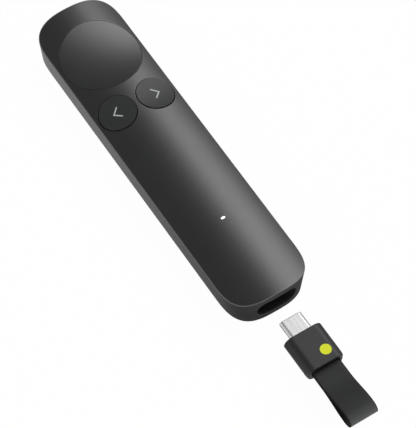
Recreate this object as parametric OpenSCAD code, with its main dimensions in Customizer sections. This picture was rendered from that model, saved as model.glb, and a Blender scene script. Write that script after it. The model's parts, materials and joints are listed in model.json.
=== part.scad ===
// Wireless presentation clicker with a plug-in receiver on a short strap.
//
// Frame: the origin is on the flat underside below the middle of the handset. +Y runs to the
// end with the round pointer pad, -Y to the receiver bay, and +Z leaves the key face.
// The receiver is drawn pulled out of its bay, in line with it. All lengths are millimetres.

/* [Handset shell] */
// Overall length of the handset
body_length = 131.2; // [127:0.1:137]
// Width across the rims
body_width = 30.4; // [29.8:0.1:31.4]
// Height of the straight rims above the underside
rim_height = 11.7; // [11.6:0.1:12.6]
// Rise of the crowned top above the rims
crown_rise = 3.3; // [3.0:0.1:3.6]
// Thickness of the side walls
wall = 1.4; // [1.2:0.05:1.6]
// Thickness of the crowned roof
roof = 1.6; // [1.3:0.05:1.8]
// Thickness of the bottom cover's floor
floor_t = 1.5; // [1.3:0.05:1.7]
// Length over which the pad end rounds off
pad_end = 14.2; // [13:0.1:16]
// Squareness of the pad end, where 2 is an ellipse
pad_end_power = 3.4; // [2.8:0.1:3.6]
// Length over which the bay end rounds off
bay_end = 15.1; // [14:0.1:16]
// Squareness of the bay end, where 2 is an ellipse
bay_end_power = 3; // [2.6:0.1:3.4]
// Inward lean of the long walls where they reach the pad end, per millimetre of height
pad_lean = 0.08; // [0.05:0.005:0.1]
// Inward lean of the long walls where they reach the bay end, per millimetre of height
bay_lean = 0.1; // [0.08:0.005:0.12]
// Inward lean of the faces of the two ends, per millimetre of height
end_lean = 0.04; // [0.02:0.005:0.06]
// Radius of the rounded bottom edge
edge_r = 2.5; // [2:0.1:2.8]
// Height of the straight band above the rounded edge that the bottom cover keeps
cover_band = 0.4; // [0.2:0.1:0.8]
// Height of the locating lip that stands on the bottom cover
lip_height = 1; // [0.7:0.1:1.2]
// Thickness of the locating lip
lip_t = 0.8; // [0.6:0.05:1]
// Clearance between the locating lip and the side wall
lip_gap = 0.1; // [0.05:0.01:0.2]

/* [Keys] */
// Distance of the pointer pad's centre from the pad end
pad_y = 22.3; // [20.7:0.1:22.9]
// Radius of the pointer pad
pad_r = 14; // [13.7:0.1:14.1]
// Depth of the pad's dish below the crown
pad_dish = 1.5; // [1:0.1:1.7]
// Clearance around the pointer pad
pad_gap = 0.1; // [0.1:0.01:0.2]
// Distance of the two small keys from the centre line
key_x = 7.35; // [7.2:0.05:7.45]
// Distance of the two small keys from the pointer pad's centre, along the handset
key_y = 23.1; // [22.7:0.1:23.9]
// Radius of the small keys
key_r = 6.4; // [6.1:0.05:6.5]
// Depth of the small keys' dish below their own rims
key_dish = 0.4; // [0.2:0.05:0.5]
// Height of the small keys' rims above the crown
key_proud = 0.3; // [0.1:0.05:0.5]
// Clearance around the small keys
key_gap = 0.25; // [0.15:0.01:0.3]
// Travel of every key
key_travel = 0.4; // [0.3:0.05:0.5]
// Depth of the keys' skirts below their ceilings
key_skirt = 0.8; // [0.6:0.05:1]
// Radial reach of the retaining tabs past the key's rim
tab_reach = 1.3; // [1.1:0.05:1.5]
// Width of each retaining tab
tab_w = 3; // [2:0.1:3.4]
// Distance of the pad's retaining tabs from the centre line
pad_tab_x = 6; // [5.5:0.1:6.5]
// Width of the arrow marks
mark_w = 2.2; // [1.8:0.1:2.6]
// Height of the arrow marks
mark_h = 4.1; // [3.6:0.1:4.6]
// Stroke of the arrow marks
mark_stroke = 0.45; // [0.35:0.05:0.6]
// Depth to which the arrow marks are moulded in
mark_depth = 0.5; // [0.4:0.05:0.7]
// Shift of the arrow marks away from the centre line, off the middle of their keys
mark_out = 0.25; // [0:0.05:0.5]

/* [Status light] */
// Distance of the status light from the bay end
light_y = 32.7; // [31.7:0.1:34.2]
// Length of the light's window across the handset
light_w = 1.6; // [1.2:0.1:2]
// Width of the light's window along the handset
light_h = 0.8; // [0.6:0.05:1]

/* [Receiver bay] */
// Height of the bay's centre above the underside
dock_z = 8.2; // [8.1:0.05:8.4]
// Clearance around the docked receiver, sideways
bay_gap_w = 0.25; // [0.2:0.05:0.4]
// Clearance around the docked receiver, up and down
bay_gap_h = 0.42; // [0.3:0.02:0.5]
// Clearance ahead of the docked receiver
bay_gap_end = 0.35; // [0.25:0.05:0.5]
// Wall of the bay's sleeve
sleeve_wall = 1; // [0.8:0.05:1.1]
// Depth of the end wall, from the outer face to the sleeve
bay_bulkhead = 3.6; // [3.4:0.1:4.2]
// Gap between the handset's end and the plug's tip when the receiver is out
pull_out = 6.7; // [4:0.1:10]

/* [Receiver] */
// Width of the receiver
receiver_w = 14.1; // [13.7:0.1:14.4]
// Thickness of the receiver
receiver_t = 6.1; // [5.9:0.05:6.3]
// Length of the receiver's housing
receiver_len = 13.5; // [13:0.1:14.5]
// Wall of the receiver's housing
receiver_wall = 0.9; // [0.75:0.05:1]
// Radius of the receiver's rear corners, seen from above
receiver_corner = 1.4; // [1.2:0.1:2.4]
// Thickness of the receiver's rear wall
receiver_rear = 1.6; // [1.3:0.1:1.9]
// Thickness of the nose plate around the plug
nose_t = 1.2; // [1:0.05:1.5]
// Width of the plug's metal shell
plug_w = 8.25; // [8.25:0.05:8.4]
// Thickness of the plug's metal shell
plug_t = 2.4; // [2.4:0.02:2.46]
// Length of the plug ahead of the housing
plug_len = 7.1; // [6.7:0.05:7.2]
// Wall of the plug's metal shell
plug_wall = 0.3; // [0.25:0.01:0.32]
// Radius of the round badge
badge_r = 1.9; // [1.5:0.1:2.2]
// Distance of the badge from the centre line
badge_x = 2.5; // [1.5:0.1:2.8]
// Distance of the badge from the receiver's rear end
badge_back = 4.2; // [3.8:0.1:6]
// Depth to which the badge is let in
badge_depth = 0.3; // [0.2:0.05:0.4]

/* [Strap] */
// Width of the strap
strap_w = 10.5; // [9.5:0.1:11]
// Thickness of one layer of the strap
strap_t = 0.55; // [0.45:0.01:0.6]
// Drop of the strap's tail below the receiver's centre
strap_drop = 0.2; // [0.1:0.05:0.6]
// Reach of the loop behind the receiver
strap_reach = 21.2; // [16:0.1:26]
// Length of the bonded tail behind the receiver
strap_bond = 5.4; // [3:0.1:6]
// Length of the rounded fold at the end of the loop
strap_fold = 3.2; // [2.6:0.1:4.6]
// Rise of the upper layer over the tail
strap_rise = 2.05; // [1.6:0.05:2.4]
// Fall of the lower layer under the tail
strap_fall = 1.8; // [1.4:0.05:2.2]
// Clearance around the strap in its mouth
mouth_gap = 0.15; // [0.15:0.05:0.35]
// Radius of the two pins that hold the strap
pin_r = 0.6; // [0.5:0.05:0.7]
// Distance of the two pins from the centre line
pin_x = 3.2; // [2.8:0.1:3.6]

/* [Circuit board] */
// Thickness of the main board
board_t = 0.8; // [0.6:0.05:1]
// Width of the main board
board_w = 22.6; // [22:0.1:23.6]
// Height of the switch bodies
switch_body = 3.5; // [3.2:0.05:3.8]
// Height of the switches with their plungers
switch_height = 5; // [4.9:0.05:5.1]
// Side of the square switch bodies
switch_side = 6; // [5.6:0.1:6.4]
// Radius of the switch plungers
plunger_r = 1.7; // [1.5:0.05:1.9]
// Running clearance around a plunger
plunger_gap = 0.08; // [0.05:0.01:0.1]
// Height of the plug socket on the board
socket_t = 3.2; // [3.2:0.02:3.26]
// Width of the plug socket on the board
socket_w = 9; // [9:0.05:9.2]
// Clearance around the plug in its socket
socket_gap = 0.13; // [0.1:0.01:0.14]
// Thickness of the socket's tongue
tongue_t = 0.7; // [0.6:0.02:0.74]
// Width of the socket's tongue
tongue_w = 6.6; // [6.4:0.05:6.7]

/* [Battery] */
// Length of the battery cell
battery_len = 40; // [34:0.5:46]
// Width of the battery cell
battery_w = 17; // [15:0.1:17.2]
// Thickness of the pad that bonds the cell down
battery_pad_t = 0.2; // [0.1:0.05:0.3]
// Space between the cell and the board
battery_room = 0.5; // [0.4:0.05:0.8]

/* [Vibration motor] */
// Radius of the coin motor
motor_r = 5; // [4:0.1:5.2]
// Height of the coin motor
motor_h = 3; // [2.7:0.1:3.4]
// Distance of the motor from the pointer pad's centre
motor_y = 7.5; // [5.5:0.1:8.5]
// Radius of the motor's shaft
motor_shaft_r = 0.4; // [0.3:0.05:0.5]
// Running clearance between the rotor and its shaft
motor_fit = 0.05; // [0.03:0.01:0.08]

/* [Screws] */
// Radius of the cover screws' shanks
cover_screw_r = 0.9; // [0.8:0.05:1]
// Radius of the cover screws' heads
cover_head_r = 1.8; // [1.6:0.05:1.9]
// Distance of the forward cover screw from the small keys, towards the pad
cover_screw_front = 6; // [5.8:0.1:6.2]
// Distance of the rear cover screw from the back of the plug socket
cover_screw_rear = 3; // [2.8:0.1:3.4]
// Radius of the board screws' shanks
board_screw_r = 0.7; // [0.6:0.05:0.8]
// Radius of the board screws' heads
board_head_r = 1.3; // [1.2:0.05:1.4]
// Distance of the board screws from the board's long edges
board_screw_x = 1.3; // [1.2:0.05:1.4]
// Thickness of the plain strip that hides the cover screws
strip_t = 0.4; // [0.3:0.05:0.5]
// Width of the plain strip
strip_w = 10; // [8:0.1:14]
// Length of the plain strip
strip_len = 100; // [94:1:108]

/* [Hidden] */
$fn = 48;

eps = 0.01;        // overshoot of cuts
far = 20;          // overshoot of cuts that leave the part
seat_fit = 0.03;   // clearance of parts that are pushed or glued together
screw_fit = 0.05;  // clearance of screws in their pilot holes

// Crown: a cylinder along Y that rises crown_rise over the rims
crown_r = (pow(body_width / 2, 2) + crown_rise * crown_rise) / (2 * crown_rise);
body_height = rim_height + crown_rise;
function crown_z(x) = body_height - crown_r + sqrt(crown_r * crown_r - x * x);

// Ends of the plan outline at rim height; the leaning walls add the rest over the crown
y_pad_end = body_length / 2 - end_lean * crown_rise;
y_bay_end = -body_length / 2 + end_lean * crown_rise;
y_pad_bend = y_pad_end - pad_end;
y_bay_bend = y_bay_end + bay_end;
corner_steps = 20;
side_steps = 6;
side_bow = 0.03;   // the long sides bow outwards by this much
edge_steps = 6;
cover_top = edge_r + cover_band;
lip_top = cover_top + lip_height;

// Places along the handset of what is set out from its pad end
pad_at = body_length / 2 - pad_y;
keys_at = pad_at - key_y;
motor_at = pad_at - motor_y;
light_at = -body_length / 2 + light_y;

// Board and switches hang from the bay's centre height
board_top = dock_z - socket_t / 2;
board_bottom = board_top - board_t;
switch_top = board_top + switch_height;
skirt_z = switch_top - key_skirt;
pad_hole_r = pad_r + pad_gap;
key_hole_r = key_r + key_gap;
hole_margin = 0.3; // space under the tabs of a pressed key
hole_floor = skirt_z - key_travel - hole_margin;
pad_rim = 1.4;     // width of the pad's skirt
key_rim = 1.2;     // width of the small keys' skirts
pad_pocket_r = pad_r - pad_rim;
key_pocket_r = key_r - key_rim;
stop_edge = 0.3;   // how far the stops reach past the tabs, all round

// Receiver: plug tip, front face and rear face along Y
y_tip = -body_length / 2 - pull_out;
y_front = y_tip - plug_len;
y_rear = y_front - receiver_len;
bay_w = receiver_w + 2 * bay_gap_w;
bay_h = receiver_t + 2 * bay_gap_h;
// Outer face of the bay end at the bay's height, on the centre line
y_bay_face = y_bay_end + end_lean * (rim_height - dock_z);
dock_travel = y_bay_face - y_rear;
y_bay_floor = y_front + dock_travel + bay_gap_end;
y_bulkhead = y_bay_face + bay_bulkhead;
sleeve_back = 0.8;
sleeve_w = bay_w + 2 * sleeve_wall;
sleeve_h = bay_h + 2 * sleeve_wall;

// Plug socket on the board, whose mouth is flush with the floor of the bay
socket_wall = 0.3;
socket_base = 0.5;
tip_clear = 0.25;    // space ahead of the docked plug's tip
socket_depth = plug_len - bay_gap_end + tip_clear;
socket_len = socket_depth + socket_base + socket_wall;
y_socket_back = y_bay_floor + socket_len;
sleeve_board_gap = 0.1;
y_board_bay = y_bay_floor + sleeve_back + sleeve_board_gap;
board_past_pad = 12.5; // how far the board runs on past the pad's centre
y_board_pad = pad_at + board_past_pad;
board_corner = 2;
tongue_clear = 0.9;    // how far the tongue stays behind the socket's mouth

// Screws
head_gap = 0.15;        // clearance around the cover screws' heads
shank_gap = 0.2;        // clearance around their shanks in the cover
tip_gap = 0.4;          // space beyond the end of every screw
drive_l = 2;            // length of a screw's cross recess
drive_w = 0.4;
drive_depth = 0.5;
cover_boss_r = 2.2;
cover_boss_gap = 0.3;
cover_seat_r = 3;
cover_seat_h = 1.4;     // height of the screw seats over the floor
cover_seat_z = floor_t + cover_seat_h;
cover_head_h = 1;
cover_head_sink = 0.1;  // depth of the heads behind the strip
cover_head_bottom = strip_t + cover_head_sink;
cover_head_top = cover_head_bottom + cover_head_h;
cover_pilot = 5;
cover_screws_at = [y_socket_back + cover_screw_rear, keys_at + cover_screw_front];
board_boss_r = 1.6;
board_hole_gap = 0.1;
board_head_h = 0.7;
board_pilot = 3;
board_screw_end = 4.6;  // from the board's bay end to the first pair of screws
board_screw_mid = -4;   // place of the second pair
board_screw_pad = 12;   // from the third pair to the pad's centre
board_screws_at = [y_board_bay + board_screw_end, board_screw_mid, pad_at - board_screw_pad];
board_screws_x = board_w / 2 - board_screw_x;

// Battery, against the forward side of the rear cover screw's seat
battery_bottom = floor_t + battery_pad_t;
battery_h = board_bottom - battery_room - battery_bottom;
battery_gap = 0.8;      // between the screw's seat and the cell
battery_y0 = cover_screws_at[0] + cover_seat_r + battery_gap;
battery_y1 = battery_y0 + battery_len;
battery_corner = 1.2;
pad_margin_w = 2;       // how far the bonding pad stays inside the cell, sideways
pad_margin_l = 3;       // and lengthwise
lead_len = 2.1;
connector_w = 6;
connector_l = 3;
connector_h = 1.6;
connector_y = battery_y1 + lead_len + connector_l / 2;
lead_r = 0.4;
lead_z = board_bottom - connector_h + 2 * lead_r;
lead_pitch = 2;

// Motor on the floor
motor_wall = 0.3;
motor_base_t = 0.4;
rotor_gap = 0.15;       // over and under the rotor
rotor_side_gap = 0.3;
hub_wall = 0.5;
rotor_z = floor_t + motor_base_t + rotor_gap;
rotor_h = motor_h - motor_base_t - motor_wall - 2 * rotor_gap;
rotor_r = motor_r - motor_wall - rotor_side_gap;
hub_r = motor_shaft_r + motor_fit + hub_wall;

// Posts that hold the board up under the switches
post_r = 1.5;
pad_post_shift = 4;     // the pad's post stands this far past its switch, clear of the motor
post_y = pad_at + pad_post_shift;

// Receiver innards
receiver_room_w = receiver_w - 2 * receiver_wall;
receiver_room_h = receiver_t - 2 * receiver_wall;
receiver_board_t = 0.8;
receiver_board_w = 10.6;
receiver_board_corner = 0.5;
rail_w = 1.1;           // width of the rails that carry the receiver's board
plug_root = 1.3;        // length of the plug's shell behind the nose plate
y_plug_root = y_front - nose_t - plug_root;
strap_inset = 2.4;      // length of the strap inside the receiver's rear wall
strap_board_gap = 0.4;
y_strap_in = y_rear + receiver_rear + strap_inset;
y_pins = y_rear + receiver_rear + strap_inset / 2;
y_receiver_board = y_strap_in + strap_board_gap;
strap_z = dock_z - strap_drop;
mouth_h = receiver_room_h / 2 + strap_drop + strap_t + mouth_gap; // up to the room's ceiling

badge_top = dock_z + receiver_t / 2;
badge_proud = 0.02;

// Slot in the plug and the contacts on its two long sides
slot_w = 7;
slot_h = 1.1;
slot_depth = 6.2;
plug_recess = 0.3;      // depth of the insulator's face behind the shell's lip
contact_count = 12;
contact_pitch = 0.5;
contact_w = 0.26;
contact_l = 4.4;
contact_t = 0.1;

// Parts on the boards
led_w = 1.6;
led_l = 0.8;
led_h = 0.6;
led_gap = 0.1;          // between the light-emitting diode and the light pipe
flange_t = 0.6;
flange_edge = 0.6;      // how far the light pipe's flange reaches past its window
flange_gap = 0.05;      // between the flange and the roof
plunger_foot = 1.6;     // length of a plunger inside its switch body
plunger_floor = 0.2;    // space under a pressed plunger
chip_y = -12;
chip_side = 6;
chip_h = 0.9;
can_side = 13;
can_h = 1.8;
can_wall = 0.2;
antenna_w = 7;
antenna_l = 2;
antenna_h = 1;
antenna_edge = 1;       // from the antenna to the board's end
sensor_y = 6;
sensor_side = 3;
small_chip_side = 4;

charcoal = [0.2, 0.205, 0.205];
soft_black = [0.07, 0.07, 0.075];
chip_black = [0.08, 0.08, 0.09];
mark_grey = [0.8, 0.8, 0.8];
board_green = [0.05, 0.25, 0.13];
steel = [0.75, 0.75, 0.76];
gold = [0.83, 0.66, 0.3];

// ---------- shared shapes ----------

// Lean of the long walls at y, blended along the handset from the bay end to the pad end
function side_lean(y) =
    bay_lean + (pad_lean - bay_lean) * (y - y_bay_end) / (y_pad_end - y_bay_end);

// Lean at a [point, normal] pair, which turns from the walls' to the ends' round the corners
function lean(q) = side_lean(q[0][1]) * pow(q[1][0], 2) + end_lean * pow(q[1][1], 2);

// One quarter of a superellipse end, as [point, outward normal] pairs, from its side to its tip
function end_quarter(depth, power) = [
    for (i = [0 : corner_steps])
        let (t = 90 * i / corner_steps,
             p = [body_width / 2 * pow(cos(t), 2 / power), depth * pow(sin(t), 2 / power)],
             g = [2 * pow(cos(t), 2 - 2 / power) / body_width, pow(sin(t), 2 - 2 / power) / depth])
        [p, g / norm(g)]
];

// Plan outline at rim height as [point, normal] pairs, counter-clockwise from the right side
function rim_outline() =
    let (pad = end_quarter(pad_end, pad_end_power),
         bay = end_quarter(bay_end, bay_end_power),
         last = corner_steps,
         side = [for (k = [1 : side_steps - 1])
             let (u = k / side_steps)
             [body_width / 2 + 4 * side_bow * u * (1 - u), y_bay_bend + u * (y_pad_bend - y_bay_bend)]])
    concat(
        [for (i = [0 : last]) [[pad[i][0][0], y_pad_bend + pad[i][0][1]], pad[i][1]]],
        [for (i = [last - 1 : -1 : 0])
            [[-pad[i][0][0], y_pad_bend + pad[i][0][1]], [-pad[i][1][0], pad[i][1][1]]]],
        [for (k = [side_steps - 2 : -1 : 0]) [[-side[k][0], side[k][1]], [-1, 0]]],
        [for (i = [0 : last])
            [[-bay[i][0][0], y_bay_bend - bay[i][0][1]], [-bay[i][1][0], -bay[i][1][1]]]],
        [for (i = [last - 1 : -1 : 0])
            [[bay[i][0][0], y_bay_bend - bay[i][0][1]], [bay[i][1][0], -bay[i][1][1]]]],
        [for (p = side) [p, [1, 0]]]
    );

// Outline at height z, moved inwards by inset on top of the wall's lean
function ring(z, inset) = [
    for (q = rim_outline())
        let (p = q[0] - q[1] * (inset + lean(q) * (rim_height - max(z, edge_r))))
        [p[0], p[1], z]
];

// Solid through a stack of rings with equal point counts, lowest ring first
module loft(rings) {
    n = len(rings[0]);
    top = (len(rings) - 1) * n;
    polyhedron(
        points = [for (r = rings) each r],
        faces = concat(
            [[for (i = [0 : n - 1]) i]],
            [[for (i = [n - 1 : -1 : 0]) top + i]],
            [for (k = [0 : len(rings) - 2], i = [0 : n - 1])
                [k * n + i, (k + 1) * n + i, (k + 1) * n + (i + 1) % n]],
            [for (k = [0 : len(rings) - 2], i = [0 : n - 1])
                [k * n + i, (k + 1) * n + (i + 1) % n, k * n + (i + 1) % n]]
        )
    );
}

// Solid under the crown, depth below its surface
module under_crown(depth) {
    translate([0, body_length, body_height - crown_r])
        rotate([90, 0, 0])
            cylinder(r = crown_r - depth, h = 2 * body_length, $fn = 180);
}

// Outline with round ends, centred
module stadium(w, h) {
    square([w - h, h], center = true);
    for (s = [-1, 1])
        translate([s * (w - h) / 2, 0])
            circle(d = h);
}

// Bar with a stadium section along Y, centred at height z
module bar_y(w, h, y0, y1, z) {
    translate([0, y1, z])
        rotate([90, 0, 0])
            linear_extrude(y1 - y0)
                stadium(w, h);
}

// Plate with round corners, standing on z = 0
module plate(w, l, r, t) {
    linear_extrude(t)
        union() {
            square([w - 2 * r, l], center = true);
            square([w, l - 2 * r], center = true);
            for (sx = [-1, 1], sy = [-1, 1])
                translate([sx * (w / 2 - r), sy * (l / 2 - r)])
                    circle(r = r);
        }
}

// Box centred in X and Y that stands on z0 at [x, y]
module block(x, y, z0, w, l, h) {
    translate([x - w / 2, y - l / 2, z0])
        cube([w, l, h]);
}

// Upright cylinder from z0 to z1 at [x, y]
module post(x, y, r, z0, z1) {
    translate([x, y, z0])
        cylinder(r = r, h = z1 - z0);
}

// ---------- handset shell ----------

// Places of the retaining tabs as [x, side] pairs, where side is the way the tab points along Y
pad_tabs = [for (sx = [-1, 1], sy = [-1, 1]) [sx * pad_tab_x, sy]];
key_tabs = [for (sy = [-1, 1]) [0, sy]];

// Tab, or the stop above it, beyond a round key's rim at offset x; grown by gap and rising by h
module tab(key_radius, x, side, gap, z0, h) {
    y_edge = sqrt(key_radius * key_radius - pow(abs(x) + tab_w / 2, 2)) - eps;
    y_out = sqrt(key_radius * key_radius - x * x) + tab_reach;
    y_low = side > 0 ? y_edge : -y_out - gap;
    translate([x - tab_w / 2 - gap, y_low, z0])
        cube([tab_w + 2 * gap, y_out + gap - y_edge, h]);
}

module housing_outer() {
    intersection() {
        loft([ring(cover_top, 0), ring(body_height + 1, 0)]);
        under_crown(0);
    }
}

// Upright column inside the walls, whose outline is taken at height z and moved in by inset
module column(z, inset, z0, z1) {
    translate([0, 0, z0])
        linear_extrude(z1 - z0)
            polygon([for (p = ring(z, inset)) [p[0], p[1]]]);
}

module housing_cavity() {
    intersection() {
        column(cover_top, wall, cover_top - 1, body_height);
        under_crown(roof);
    }
}

// Posts under the roof that take the cover and board screws
module housing_bosses() {
    for (y = cover_screws_at)
        post(0, y, cover_boss_r, cover_seat_z, body_height);
    for (s = [-1, 1], y = board_screws_at)
        post(s * board_screws_x, y, board_boss_r, board_top, body_height);
}

// Flat-bottomed stops that the keys' tabs rest against
module key_stops() {
    for (t = pad_tabs)
        translate([0, pad_at, 0])
            tab(pad_hole_r, t[0], t[1], stop_edge, switch_top, body_height);
    for (s = [-1, 1], t = key_tabs)
        translate([s * key_x, keys_at, 0])
            tab(key_hole_r, t[0], t[1], stop_edge, switch_top, body_height);
}

// Whole crowned shell, whose bay end is thick behind the mouth and hollow under it for the lip
module housing_shell() {
    difference() {
        housing_outer();
        difference() {
            housing_cavity();
            block(0, y_bulkhead - far / 2, lip_top + lip_gap, body_width, far, body_height);
        }
    }
}

// Window of the status light, as a prism through the roof
module light_prism(z0, z1) {
    translate([0, light_at, z0])
        linear_extrude(z1 - z0)
            stadium(light_w, light_h);
}

module upper_housing() {
    color(charcoal)
    difference() {
        union() {
            difference() {
                housing_shell();
                block(0, y_bulkhead - far / 2, 0, body_width, far, 2 * body_height);
            }
            intersection() {
                union() {
                    housing_bosses();
                    key_stops();
                }
                under_crown(roof / 3);
            }
        }
        post(0, pad_at, pad_hole_r, hole_floor, body_height + far);
        for (s = [-1, 1])
            post(s * key_x, keys_at, key_hole_r, hole_floor, body_height + far);
        light_prism(board_top, body_height + far);
        for (y = cover_screws_at)
            post(0, y, cover_screw_r + screw_fit, cover_seat_z - eps, cover_seat_z + cover_pilot);
        for (s = [-1, 1], y = board_screws_at)
            post(s * board_screws_x, y, board_screw_r + screw_fit, board_top - eps,
                 board_top + board_pilot);
    }
}

// End piece of the shell around the bay's mouth, bonded to the upper housing
module bay_end() {
    color(charcoal)
    difference() {
        intersection() {
            housing_shell();
            block(0, y_bulkhead - far / 2, 0, body_width, far, 2 * body_height);
        }
        bar_y(bay_w, bay_h, y_bay_face - far, y_bulkhead + 1, dock_z);
    }
}

module bottom_cover() {
    edge_rings = [
        for (k = [edge_steps : -1 : 0])
            let (a = 90 * k / edge_steps)
            ring(edge_r * (1 - sin(a)), edge_r * (1 - cos(a)))
    ];
    color(charcoal)
    difference() {
        union() {
            difference() {
                union() {
                    loft(concat(edge_rings, [ring(cover_top, 0)]));
                    column(cover_top, wall + lip_gap, edge_r, lip_top);
                }
                column(cover_top, wall + lip_gap + lip_t, floor_t, lip_top + 1);
            }
            for (y = cover_screws_at)
                post(0, y, cover_seat_r, floor_t / 2, cover_seat_z);
            for (s = [-1, 1])
                post(s * key_x, keys_at, post_r, floor_t / 2, board_bottom);
            post(0, post_y, post_r, floor_t / 2, board_bottom);
        }
        translate([0, 0, -eps])
            plate(strip_w + 2 * seat_fit, strip_len + 2 * seat_fit, strip_w / 2, strip_t + eps);
        for (y = cover_screws_at) {
            post(0, y, cover_head_r + head_gap, -eps, cover_head_top);
            post(0, y, cover_screw_r + shank_gap, -eps, cover_seat_z + eps);
        }
    }
}

module cover_strip() {
    color(soft_black)
        plate(strip_w, strip_len, strip_w / 2 - eps, strip_t);
}

module cover_screws() {
    color(steel)
    for (y = cover_screws_at)
        difference() {
            union() {
                post(0, y, cover_head_r, cover_head_bottom, cover_head_top);
                post(0, y, cover_screw_r, cover_head_top - eps, cover_seat_z + cover_pilot - tip_gap);
            }
            for (a = [0, 90])
                translate([0, y, cover_head_bottom - eps])
                    rotate(a)
                        linear_extrude(drive_depth)
                            square([drive_l, drive_w], center = true);
        }
}

// ---------- keys ----------

// Saddle: a waisted spool along Y. Its waist has radius bend_x and its flanks curve with bend_y
module spool(bend_x, bend_y, half) {
    rotate([90, 0, 0])
        rotate_extrude($fn = 360)
            difference() {
                translate([0, -half])
                    square([bend_x + half * half / bend_y, 2 * half]);
                translate([bend_x + bend_y, 0])
                    circle(r = bend_y, $fn = 360);
            }
}

// Space under a dished key face at [x, y], whose rim follows the crown raised by proud
module under_dish(x, y, radius, dish, proud) {
    bend_x = 1 / (1 / crown_r - 2 * dish / (radius * radius));
    bend_y = radius * radius / (2 * dish);
    translate([x, y, crown_z(x) + proud - dish])
        rotate([0, asin(x / crown_r), 0])
            translate([0, 0, -bend_x])
                spool(bend_x, bend_y, radius + 2);
}

// Round key: a dished cap with a skirt, a flat ceiling over its switch, and tabs under the roof
module key_cap(x, y, radius, dish, proud, pocket_r, tabs) {
    difference() {
        union() {
            intersection() {
                post(x, y, radius, skirt_z, body_height + proud + 1);
                under_dish(x, y, radius, dish, proud);
                under_crown(-proud);
            }
            translate([x, y, 0])
                for (t = tabs)
                    tab(radius, t[0], t[1], 0, skirt_z, key_skirt);
        }
        post(x, y, pocket_r, skirt_z - eps, switch_top);
    }
}

// Arrow outline that points along +X for dir = 1 and along -X for dir = -1
module arrow(dir) {
    slope = atan2(mark_h / 2, mark_w);
    half = mark_stroke / 2;
    tip = half / sin(slope);
    out = [-mark_w / 2 + half * sin(slope), mark_h / 2 + half * cos(slope)];
    inn = [-mark_w / 2 - half * sin(slope), mark_h / 2 - half * cos(slope)];
    scale([dir, 1])
        polygon([
            [mark_w / 2 + tip, 0], out, inn, [mark_w / 2 - tip, 0],
            [inn[0], -inn[1]], [out[0], -out[1]]
        ]);
}

module arrow_prism(dir) {
    mark_floor = crown_z(key_x) + key_proud - key_dish - mark_depth;
    translate([dir * (key_x + mark_out), keys_at, mark_floor])
        linear_extrude(far)
            arrow(dir);
}

module small_key_cap(dir) {
    key_cap(dir * key_x, keys_at, key_r, key_dish, key_proud, key_pocket_r, key_tabs);
}

module small_key(dir) {
    difference() {
        small_key_cap(dir);
        arrow_prism(dir);
    }
}

module small_mark(dir) {
    intersection() {
        small_key_cap(dir);
        arrow_prism(dir);
    }
}

module pointer_key() {
    color(charcoal)
        key_cap(0, pad_at, pad_r, pad_dish, 0, pad_pocket_r, pad_tabs);
}

module back_key() {
    color(charcoal) small_key(-1);
}

module next_key() {
    color(charcoal) small_key(1);
}

module back_mark() {
    color(mark_grey) small_mark(-1);
}

module next_mark() {
    color(mark_grey) small_mark(1);
}

// ---------- status light ----------

module light_pipe() {
    flange_z = body_height - roof - flange_gap;
    color([0.95, 0.97, 1])
        union() {
            intersection() {
                light_prism(flange_z - eps, body_height + 1);
                under_crown(0);
            }
            post(0, light_at, light_w / 2 + flange_edge, flange_z - flange_t, flange_z);
            post(0, light_at, light_h / 2, board_top + led_h + led_gap, flange_z - flange_t + eps);
        }
}

module status_led() {
    color([1, 1, 0.9])
        block(0, light_at, board_top, led_w, led_l, led_h);
}

// ---------- circuit board ----------

module main_board() {
    length = y_board_pad - y_board_bay;
    color(board_green)
    difference() {
        translate([0, (y_board_pad + y_board_bay) / 2, board_bottom])
            plate(board_w, length, board_corner, board_t);
        for (y = cover_screws_at)
            post(0, y, cover_boss_r + cover_boss_gap, 0, body_height);
        for (s = [-1, 1], y = board_screws_at)
            post(s * board_screws_x, y, board_screw_r + board_hole_gap, 0, body_height);
    }
}

module board_screws() {
    color(steel)
    for (s = [-1, 1], y = board_screws_at)
        union() {
            post(s * board_screws_x, y, board_head_r, board_bottom - board_head_h, board_bottom);
            post(s * board_screws_x, y, board_screw_r, board_bottom - eps,
                 board_top + board_pilot - tip_gap);
        }
}

module switch_at(x, y) {
    color([0.12, 0.12, 0.13])
    difference() {
        block(x, y, board_top, switch_side, switch_side, switch_body);
        post(x, y, plunger_r + plunger_gap,
             board_top + switch_body - plunger_foot - key_travel - plunger_floor,
             board_top + switch_body + eps);
    }
}

module plunger_at(x, y) {
    color([0.85, 0.85, 0.82])
        post(x, y, plunger_r, board_top + switch_body - plunger_foot, switch_top);
}

module pointer_switch() { switch_at(0, pad_at); }
module back_switch() { switch_at(-key_x, keys_at); }
module next_switch() { switch_at(key_x, keys_at); }
module pointer_plunger() { plunger_at(0, pad_at); }
module back_plunger() { plunger_at(-key_x, keys_at); }
module next_plunger() { plunger_at(key_x, keys_at); }

module radio_chip() {
    color(chip_black)
        block(0, chip_y, board_top, chip_side, chip_side, chip_h);
}

module shield_can() {
    color(steel)
    difference() {
        block(0, chip_y, board_top, can_side, can_side, can_h);
        block(0, chip_y, board_top - eps, can_side - 2 * can_wall, can_side - 2 * can_wall,
              can_h - can_wall);
    }
}

module antenna() {
    color([0.9, 0.9, 0.86])
        block(0, y_board_pad - antenna_edge - antenna_l / 2, board_top, antenna_w, antenna_l, antenna_h);
}

module motion_sensor() {
    color(chip_black)
        block(0, sensor_y, board_top, sensor_side, sensor_side, chip_h);
}

// ---------- plug socket and receiver bay ----------

module usb_socket() {
    color(steel)
    difference() {
        bar_y(socket_w, socket_t, y_bay_floor, y_socket_back, dock_z);
        bar_y(plug_w + 2 * socket_gap, plug_t + 2 * socket_gap, y_bay_floor - 1,
              y_socket_back - socket_wall, dock_z);
    }
}

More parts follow.
